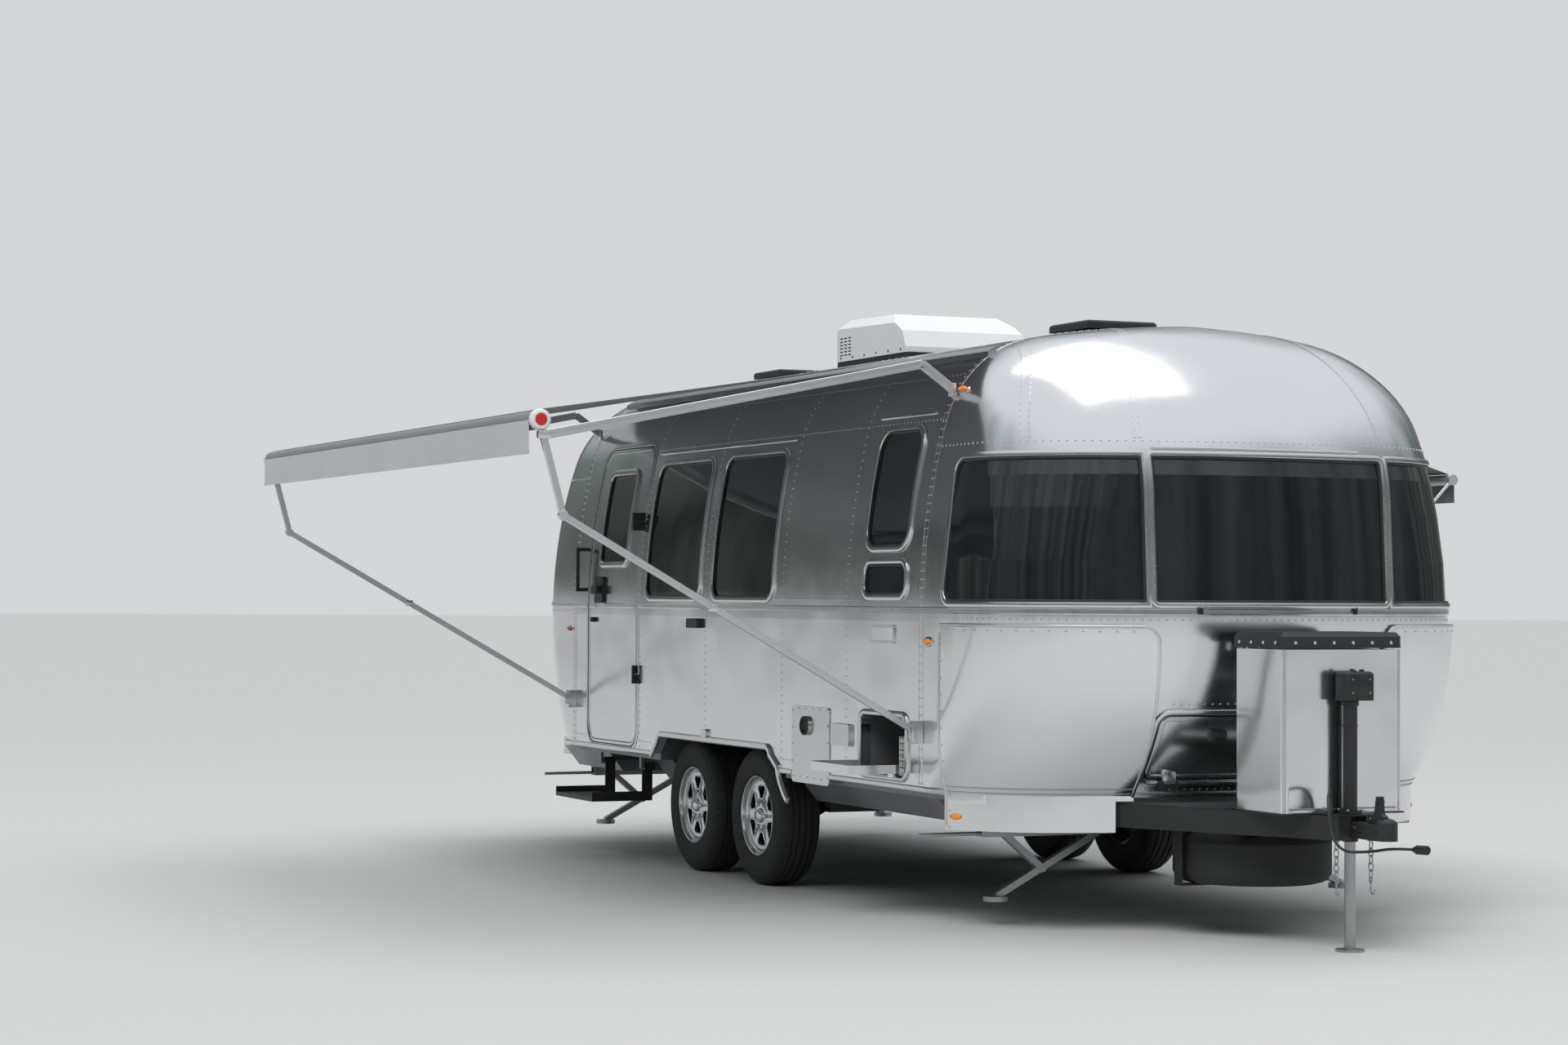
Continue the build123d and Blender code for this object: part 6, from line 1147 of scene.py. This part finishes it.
for x in (-1.817, -6.383):
    outward = ALONG if x > REAR_SEAM else -ALONG
    channels += [bar((x, *a), (x, *b), section, outward) for a, b, section in BARS]
    joints += [
        rod((x - 0.0125, *ARM_BEND), (x + 0.0125, *ARM_BEND), 0.0225, 28, 0.002),
        rod((x - 0.0135, *RAFTER_TOP), (x + 0.0135, *RAFTER_TOP), 0.012, 20, 0.001),
        box(x - 0.0155, x + 0.0155, *SADDLE, 0.004),
        box(x - 0.022, x + 0.022, ARM_FOOT[0] - 0.004, -1.2203, 0.808, 0.908, 0.003),
        box(x - 0.0215, x - 0.015, *CHEEK, 0.002),
        box(x + 0.015, x + 0.0215, *CHEEK, 0.002),
        rod((x - 0.0215, *ARM_FOOT), (x + 0.0215, *ARM_FOOT), 0.006, 16, 0.001),
        box(x - 0.02, x + 0.02, RAFTER_FOOT[0] - 0.016, RAFTER_FOOT[0] + 0.006, 2.36, 2.42, 0.003),
        box(x - 0.015, x + 0.015, *SLIDER, 0.004),
    ]
piece("awning_channels", channels, "awning_alloy", replaces=["awning_arms"], angle=30)
piece("awning_joints", joints, "awning_alloy", angle=30)

# Window awning on the street side
SMALL_X, SMALL_Y = (-3.085, -1.935), 1.69
start, end = (float(half_width(2.228)) + 0.0235, 2.2435), (SMALL_Y, 2.04 + 0.026 + 0.0025)
slope = sagging(start, end, 0.004, 16)
ripple = lambda xs, t: 0.0015 * np.sin(xs * 7.0) * sin(pi * t)
small = cloth("window_awning_cloth", slope, SMALL_X, 36, ripple, 1, "window_awning_canopy")
hang_y = SMALL_Y + 0.026 + 0.0025
hang = sagging((hang_y, 2.036), (hang_y, 1.93), 0, 10)
flutter = lambda xs, t: 0.002 * np.sin(xs * 12.0) * t
small = cloth("window_awning_valance", hang, SMALL_X, 50, flutter, 1, "window_awning_canopy")

# Gas cover and lid: rolled corners, riveted lid lip, seam of the cover's front sheet
LIP_BAR = mirrored(mm(3.5, -2, 3.5, 2.2))
edges = [rod((-0.324, y, 0.575), (-0.324, y, 1.248), 0.007, 18, 0.001) for y in (-0.282, 0.282)]
edges.append(box(-0.317, -0.3135, -0.262, 0.262, 0.574, 0.592, 0.001))
piece("gas_cover_edges", edges)
heads = [domes(spots(-0.309, np.linspace(-0.235, 0.235, 6), 1.278), ALONG, *LID_RIVET)]
for side in SIDES:
    row = spots(np.linspace(-0.65, -0.37, 4), side * 0.297, 1.278)
    heads.append(domes(row, side * ACROSS, *LID_RIVET))
piece("gas_lid_rivets", heads, "trim_alloy", "gas_lid_body", angle=80)
x, y = np.array(rounded(-0.708, -0.309, -0.297, 0.297, 0.033)).T
lip = spots(x, y, 1.26)
tangent = np.roll(lip, -1, 0) - np.roll(lip, 1, 0)
facing = unit(np.stack([tangent[:, 1], -tangent[:, 0], 0 * tangent[:, 0]], 1))
piece("gas_lid_lip", [ribbon(lip, LIP_BAR, facing)], "black_plastic", "gas_lid_body")

# Jack: collars, drive boss, bolts and lamp on the head
JACK_X, JACK_BORE = -0.262, 0.0295


def collar(low, high, outer, sides=36, ease=0.002):
    """Ring round the jack's leg with eased rims, as vertices and faces."""
    section = [(JACK_BORE, low), (outer - ease, low), (outer, low + ease)]
    section += [(outer, high - ease), (outer - ease, high), (JACK_BORE, high)]
    angles = TURN * np.arange(sides) / sides
    verts = [(JACK_X + r * cos(a), r * sin(a), h + GROUND) for a in angles for r, h in section]
    return verts, lathe_faces(sides, len(section))


parts = [
    collar(1.018, 1.039, 0.036),
    collar(0.455, 0.478, 0.0335),
    collar(0.93, 0.938, 0.0325),
    box(JACK_X + 0.044, JACK_X + 0.05, -0.03, 0.074, 1.06, 1.14, 0.003),
    rod((JACK_X + 0.03, 0.0, 1.157), (JACK_X + 0.03, 0.0, 1.166), 0.01, 20, 0.002),
    rod((JACK_X - 0.02, 0.07, 1.157), (JACK_X - 0.02, 0.07, 1.168), 0.011, 20, 0.002),
]
piece("jack_collars", parts, "black_steel", weld=WELD)
bolts = []
for y in (0.034, -0.034):
    for x in (JACK_X + 0.034, JACK_X - 0.034):
        bolts.append(rod((x, y, 0.5825), (x, y, 0.59), 0.0065, 6, 0.001))
for y in (-0.02, 0.064):
    for z in (1.072, 1.128):
        bolts.append(rod((JACK_X + 0.049, y, z), (JACK_X + 0.053, y, z), 0.0042, 6, 0.0006))
piece("jack_bolts", bolts, "zinc_steel")

# Coupler: side ribs, latch pad and pins, and the rounded top of its nose over the ball
COUPLER_RIB = mirrored(mm(6, -3, 6, 2, 3, 4))
NOSE_DOME = mm(45.8, 541, 45, 547, 41.8, 553.5, 35.2, 559.5, 26.2, 564, 15, 566.8)
DOME_SIDES, DOME_TOP = 48, 0.5678
parts = []
for side in SIDES:
    rear, front = (-0.205, side * 0.0375, 0.512), (-0.006, side * 0.0462, 0.512)
    parts.append(bar(rear, front, COUPLER_RIB, side * ACROSS))
parts.append(rod((-0.046, -0.02, 0.632), (-0.046, 0.02, 0.632), 0.0075, 20, 0.002))
parts.append(box(-0.118, -0.02, -0.0175, 0.0175, 0.54, 0.552, 0.002))
piece("coupler_ribs", parts, "black_steel")
verts = [v for r, h in NOSE_DOME for v in circle(spots(0, 0, h), r * ALONG, r * ACROSS, DOME_SIDES)]
verts += [spots(0, 0, DOME_TOP), spots(0, 0, NOSE_DOME[0][1])]
last, top = (len(NOSE_DOME) - 1) * DOME_SIDES, len(verts) - 2
faces = ring_faces(len(NOSE_DOME), DOME_SIDES)
faces += [(last + k, last + (k + 1) % DOME_SIDES, top) for k in range(DOME_SIDES)]
faces += [((k + 1) % DOME_SIDES, k, top + 1) for k in range(DOME_SIDES)]
piece("coupler_dome", [(verts, faces)], "black_steel", angle=60)
pins = [rod((-0.172, -0.0405, 0.518), (-0.172, 0.0405, 0.518), 0.007, 6, 0.001)]
pins.append(rod((-0.088, -0.02, 0.562), (-0.088, 0.02, 0.562), 0.005, 16, 0.001))
piece("coupler_pins", pins, "zinc_steel")

# Safety chains: round-wire links, each across the last, and a hook with an eye, a shank and a bend
CHAIN_X, CHAIN_Y, CHAIN_TOP = -0.235, 0.085, 0.462
LINK_WIDTH, LINK_LENGTH, WIRE, LINK_PITCH, LINKS = 0.026, 0.042, 0.003, 0.03, 5
EYE, BEND, HOOK_WIRE, SHANK = 0.0095, 0.013, 0.0038, 0.034


def link_mesh(x, y, z, across):
    """Oval link of round wire standing upright, its width along X or Y."""
    r = LINK_WIDTH / 2 - WIRE
    straight = LINK_LENGTH / 2 - WIRE - r
    loop = [(r * cos(a), straight + r * sin(a)) for a in np.linspace(0, pi, 11)]
    loop += [(r * cos(a), -straight + r * sin(a)) for a in np.linspace(pi, TURN, 11)]
    wide, thick = (ALONG, ACROSS) if across else (ACROSS, ALONG)
    verts = []
    for (u, w), after, before in zip(loop, loop[1:] + loop[:1], loop[-1:] + loop[:-1]):
        t = WIRE * unit(np.subtract(after, before))
        verts += circle(spots(x, y, z) + u * wide + w * UP, t[1] * wide - t[0] * UP, WIRE * thick, 8)
    return verts, ring_faces(len(loop), 8, loop=True)


links, hooks = [], []
wire = [(HOOK_WIRE * cos(a), HOOK_WIRE * sin(a)) for a in TURN * np.arange(12) / 12]
eye = CHAIN_TOP - LINK_LENGTH - 0.002 - (LINKS - 1) * LINK_PITCH + WIRE + HOOK_WIRE - EYE
foot = eye - EYE
eye_turn, bend_turn = np.linspace(-0.5 * pi, 1.4 * pi, 20), np.linspace(0, 1.12 * pi, 14)[1:]
eye_line = [(EYE * cos(a), eye + EYE * sin(a)) for a in eye_turn]
hook_line = [(0.0, z) for z in np.linspace(foot, foot - SHANK, 5)]
hook_line += [(BEND - BEND * cos(a), foot - SHANK - BEND * sin(a)) for a in bend_turn]
for side in SIDES:
    y = side * CHAIN_Y
    lug = (CHAIN_X - 0.012, CHAIN_X + 0.012, y - 0.01, y + 0.01, CHAIN_TOP - 0.006, 0.465)
    links.append(box(*lug, 0.001))
    for k in range(LINKS):
        z = CHAIN_TOP - LINK_LENGTH / 2 - 0.002 - k * LINK_PITCH
        links.append(link_mesh(CHAIN_X, y, z, k % 2 == 0))
    for line in (eye_line, hook_line):
        x, z = np.array(line).T
        hooks.append(ribbon(spots(CHAIN_X + x, y, z), wire, ACROSS, closed=False))
piece("chain_links", links, "zinc_steel", replaces=["safety_chains"], angle=50)
piece("chain_hooks", hooks, "zinc_steel", angle=50)

# Tow cable: one smooth line from the jack plate round to its plug
CABLE_LENGTH, CABLE_RADIUS = 0.796, 0.006
CABLE_POINTS = (
    (-0.25, -0.1, 0.071),
    (-0.25, -0.1, 0.19),
    (-0.11, -0.215, 0.14),
    (-0.09, -0.19, -0.07),
    (-0.08, -0.02, -0.075),
    (-0.062, 0.07, -0.06),
    (0.08, 0.078, -0.055),
)
curve = bpy.data.curves.new("tow_cable_line", "CURVE")
curve.dimensions = "3D"
spline = curve.splines.new("NURBS")
spline.points.add(len(CABLE_POINTS) - 1)
for point, at in zip(spline.points, CABLE_POINTS):
    point.co = (*at, 1.0)
spline.order_u = 3
spline.use_endpoint_u = True
spline.resolution_u = 16
curve.bevel_depth = CABLE_RADIUS
curve.bevel_resolution = 5
curve.use_fill_caps = True
cable = placed("tow_cable_line", curve)
dress(cable, "cable_rubber", replaces=["tow_cable"], angle=0)

# Door: window rim and gasket, edge trim with rivets, surround and belt rail
WIDE_BAR = [(u * 1.15, v + 0.0005) for u, v in FRAME_BAR]
EDGE_BAR = mirrored(mm(8, -2, 8, 1.6, 6.5, 2.6))
SURROUND = mirrored(mm(11, -2, 11, 2.2, 9, 3.2))
DOOR_LEAF = (CURB, DOOR_REAR + 0.009, DOOR_FRONT - 0.006, DOOR_FOOT + 0.006, DOOR_HEAD - 0.006, 0.104)
DOORWAY = (CURB, DOOR_REAR, DOOR_FRONT, DOOR_FOOT, DOOR_HEAD, 0.11)
piece("door_window_rim", [wall_ring(DOOR_WINDOW, 0.011, WIDE_BAR)], "trim_alloy", "entry_door")
piece("door_window_gasket", [wall_ring(DOOR_WINDOW, -0.005, GASKET)], "black_plastic", "entry_door")
piece("door_edge", [wall_ring(DOOR_LEAF, -0.012, EDGE_BAR)], "trim_alloy", "entry_door")
leaf = wall_outline(*DOOR_LEAF, -0.012)
leaf = np.concatenate([leaf, leaf[:1]])
centre, facing = spaced(leaf, wall_normals(leaf, CURB), 0.045)
heads = domes(centre + facing * 0.0022, facing, 0.0042, 0.0022)
piece("door_rivets", [heads], "trim_alloy", "entry_door", angle=80)
piece("door_surround", [wall_ring(DOORWAY, 0.013, SURROUND)])
parts = []
for x0, x1, count in ((DOOR_REAR + 0.032, -6.036, 8), (-5.893, DOOR_FRONT - 0.046, 24)):
    line = spots(np.linspace(x0, x1, count), -float(half_width(BELT_LINE)), BELT_LINE)[::-1]
    parts.append(ribbon(line, BELT_RAIL, wall_normals(line, CURB), closed=False))
piece("door_belt", parts, "trim_alloy", "entry_door")

# Lamps: bright bases behind domed oval lenses
LENS_STEPS = ((1.0, 0.0), (1.0, 0.3), (0.94, 0.62), (0.78, 0.86), (0.5, 0.97))
LENS_SIDES = 28


def oval_dome(spot, up, out, length, depth, proud):
    """Domed oval lens along X standing on a base, as vertices and faces."""
    verts, along, up = [], ALONG * length / 2, up * depth / 2
    for scale, rise in LENS_STEPS:
        verts += circle(spot + out * proud * rise, along * scale, up * scale, LENS_SIDES)
    verts.append(spot + out * proud)
    faces, last = ring_faces(len(LENS_STEPS), LENS_SIDES), (len(LENS_STEPS) - 1) * LENS_SIDES
    faces += [(last + k, last + (k + 1) % LENS_SIDES, last + LENS_SIDES) for k in range(LENS_SIDES)]
    return verts, faces + [tuple(range(LENS_SIDES))[::-1]]


bases = []
for x, finish, colour in ((-1.75, "amber_lens", "amber"), (-6.45, "red_lens", "red")):
    lenses = []
    for side in SIDES:
        for height, length, depth, proud in ((2.386, 0.092, 0.036, 0.022), (1.262, 0.084, 0.036, 0.02)):
            lean = asin((height - SHOULDER_C[1]) / SHOULDER_RADIUS) if height > BELT else 0.0
            spot = spots(x, side * float(half_width(height)), height)
            out = np.array([0.0, side * cos(lean), sin(lean)])
            up = np.array([0.0, -side * sin(lean), cos(lean)])
            lens, base = (length - 0.01, depth - 0.008, proud - 0.003), (length + 0.008, depth + 0.01, 0.0085)
            lenses.append(oval_dome(spot + out * 0.003, up, out, *lens))
            bases.append(oval_dome(spot - out * 0.001, up, out, *base))
    piece(f"{colour}_lenses", lenses, finish, replaces=[f"{colour}_lamps"], weld=WELD)
piece("lamp_bases", bases, weld=WELD)

# Light plates over the wall's small covers, the face of one, and the furnace's mouth
PLATE_BACK = -1.2195
plates = []
for x0, x1, z0, z1, proud in (
    (-2.76, -2.56, 0.76, 0.86, 0.014),
    (-2.34, -2.094, 1.25, 1.33, 0.005),
    (-4.4, -4.334, 0.724, 0.764, 0.012),
):
    ring = rounded(x0 - 0.002, x1 + 0.002, z0 - 0.002, z1 + 0.002, 0.012, 6)
    plate = prism(ring, "y", PLATE_BACK - proud - 0.003, PLATE_BACK)
    bm = bmesh.new()
    bm.from_mesh(plate.data)
    rim_edges = [e for e in bm.edges if all(v.co.y < PLATE_BACK - proud for v in e.verts)]
    bmesh.ops.bevel(bm, geom=rim_edges, offset=0.0015, segments=2, affect="EDGES")
    plates.append(plain(bm))
    bpy.data.objects.remove(plate)
piece("wall_plates", plates, weld=WELD)
panel = prism(rounded(-2.328, -2.106, 1.262, 1.318, 0.008, 6), "y", -1.2285, -1.2265)
bm = bmesh.new()
bm.from_mesh(panel.data)
bpy.data.objects.remove(panel)
piece("wall_plate_face", [plain(bm)], "white_plastic")
FURNACE_X, FURNACE_H, OUTLET = -3.062, 0.837, 0.0415
verts, faces = turned([(0.0005, -1.2275), (0.036, -1.2275), (0.0368, -1.2268), (0.0005, -1.2268)], 36)
mouth = ([(x + FURNACE_X, y, z + FURNACE_H + GROUND) for x, y, z in verts], faces)
piece("furnace_mouth", [mouth], "black_plastic", weld=WELD)

# Roof unit: dark backs in the louvres, screws along the hood's foot
backs, screws = [], []
for side in SIDES:
    low, high = sorted((side * 0.3405, side * 0.3425))
    for i in (-1, 0, 1):
        for j in (-2.5, -1.5, -0.5, 0.5, 1.5, 2.5):
            x, z = -4.545 + i * 0.052, 2.802 + j * 0.018
            backs.append(box(x - 0.0205, x + 0.0205, low, high, z - 0.0039, z + 0.0039, 0.0004))
    row = spots(np.linspace(-4.6, -3.86, 6), side * 0.35, 2.742)
    screws.append(domes(row, side * ACROSS, 0.007, 0.0035, 12))
piece("unit_louvre_backs", backs, "black_plastic")
piece("unit_screws", screws, "black_plastic", angle=80)

# Locker frame, unit's perforated face, furnace outlet ring and screws, hooks, drip rails and flap lamps
LOCKER = (CURB, -2.45, -1.97, 0.651, 0.915, 0.045)
RING_BAR = mirrored(mm(4.8, -4, 4.8, 1, 2, 2.8))
FRONT_DRIP = mm(6, -2, 6, 6, 2, 11, -3, 10, -6, 2, -6, -2)
SIDE_DRIP = mm(5, -2, 5, 4, 2, 9, -3, 8, -5, 2, -5, -2)
FLAP_LAMP = ((1.0, -0.002), (1.0, 0.006), (0.86, 0.01), (0.45, 0.0125))
piece("locker_frame", [wall_ring(LOCKER, 0.014, FRAME_BAR)])
dots = [(-2.174 + i * 0.0235, 0.683 + j * 0.0265) for i in range(8) for j in range(6)]
dots = [box(x - 0.0045, x + 0.0045, -1.1512, -1.15, z - 0.0045, z + 0.0045, 0.0003) for x, z in dots]
piece("unit_perforations", dots, "black_plastic")
outlet = np.array(circle(spots(FURNACE_X, -1.2423, FURNACE_H), OUTLET * ALONG, OUTLET * UP, 36))
piece("furnace_ring", [ribbon(outlet, RING_BAR, -ACROSS)], "black_steel")
vent = wall_outline(CURB, VENT_REAR, VENT_FRONT, 0.575, 0.93, 0.025, -0.012)
vent[:, 1] = -1.2263
vent = np.concatenate([vent, vent[:1]])
piece("furnace_screws", [domes(*spaced(vent, -ACROSS, 0.082), *SCREW)], angle=80)
hooks = []
for y in (-0.39, 0.39):
    x = on_nose([spots(-1.0, y, 1.407)])[0][0]
    hooks.append(box(x - 0.004, x + 0.01, y - 0.014, y + 0.014, 1.392, 1.424, 0.003))
    hooks.append(rod((x + 0.008, y, 1.4), (x + 0.026, y, 1.412), 0.005, 14, 0.001))
piece("front_hooks", hooks, "black_plastic")
drip = on_nose(spots(FRONT_SEAM, np.linspace(-0.57, 0.45, 40), 2.104))
piece("front_drip_rail", [ribbon(drip, FRONT_DRIP, closed=False)])
rails = []
for x0, x1, height in ((-5.3, -3.44, 2.235), (-2.5, -1.93, 2.29)):
    line = spots(np.linspace(x0, x1, 40), -float(half_width(height)), height)
    rails.append(ribbon(line, SIDE_DRIP, wall_normals(line, CURB), closed=False))
piece("side_drip_rails", rails)
lamps = []
for side in SIDES:
    spot = slide([spots(-1.545, side * 1.0, 0.5)], 1, side * 0.6, side * 1.5, GUARD_OUT)
    out = guard_normals(spot)[0]
    along, up = np.cross(UP, out) * 0.03, UP * 0.014
    verts = []
    for scale, rise in FLAP_LAMP:
        verts += circle(spot[0] + out * rise, along * scale, up * scale, 24)
    lamps.append((verts, ring_faces(4, 24) + [tuple(range(72, 96))]))
piece("flap_lamps", lamps, "amber_lens", weld=WELD)
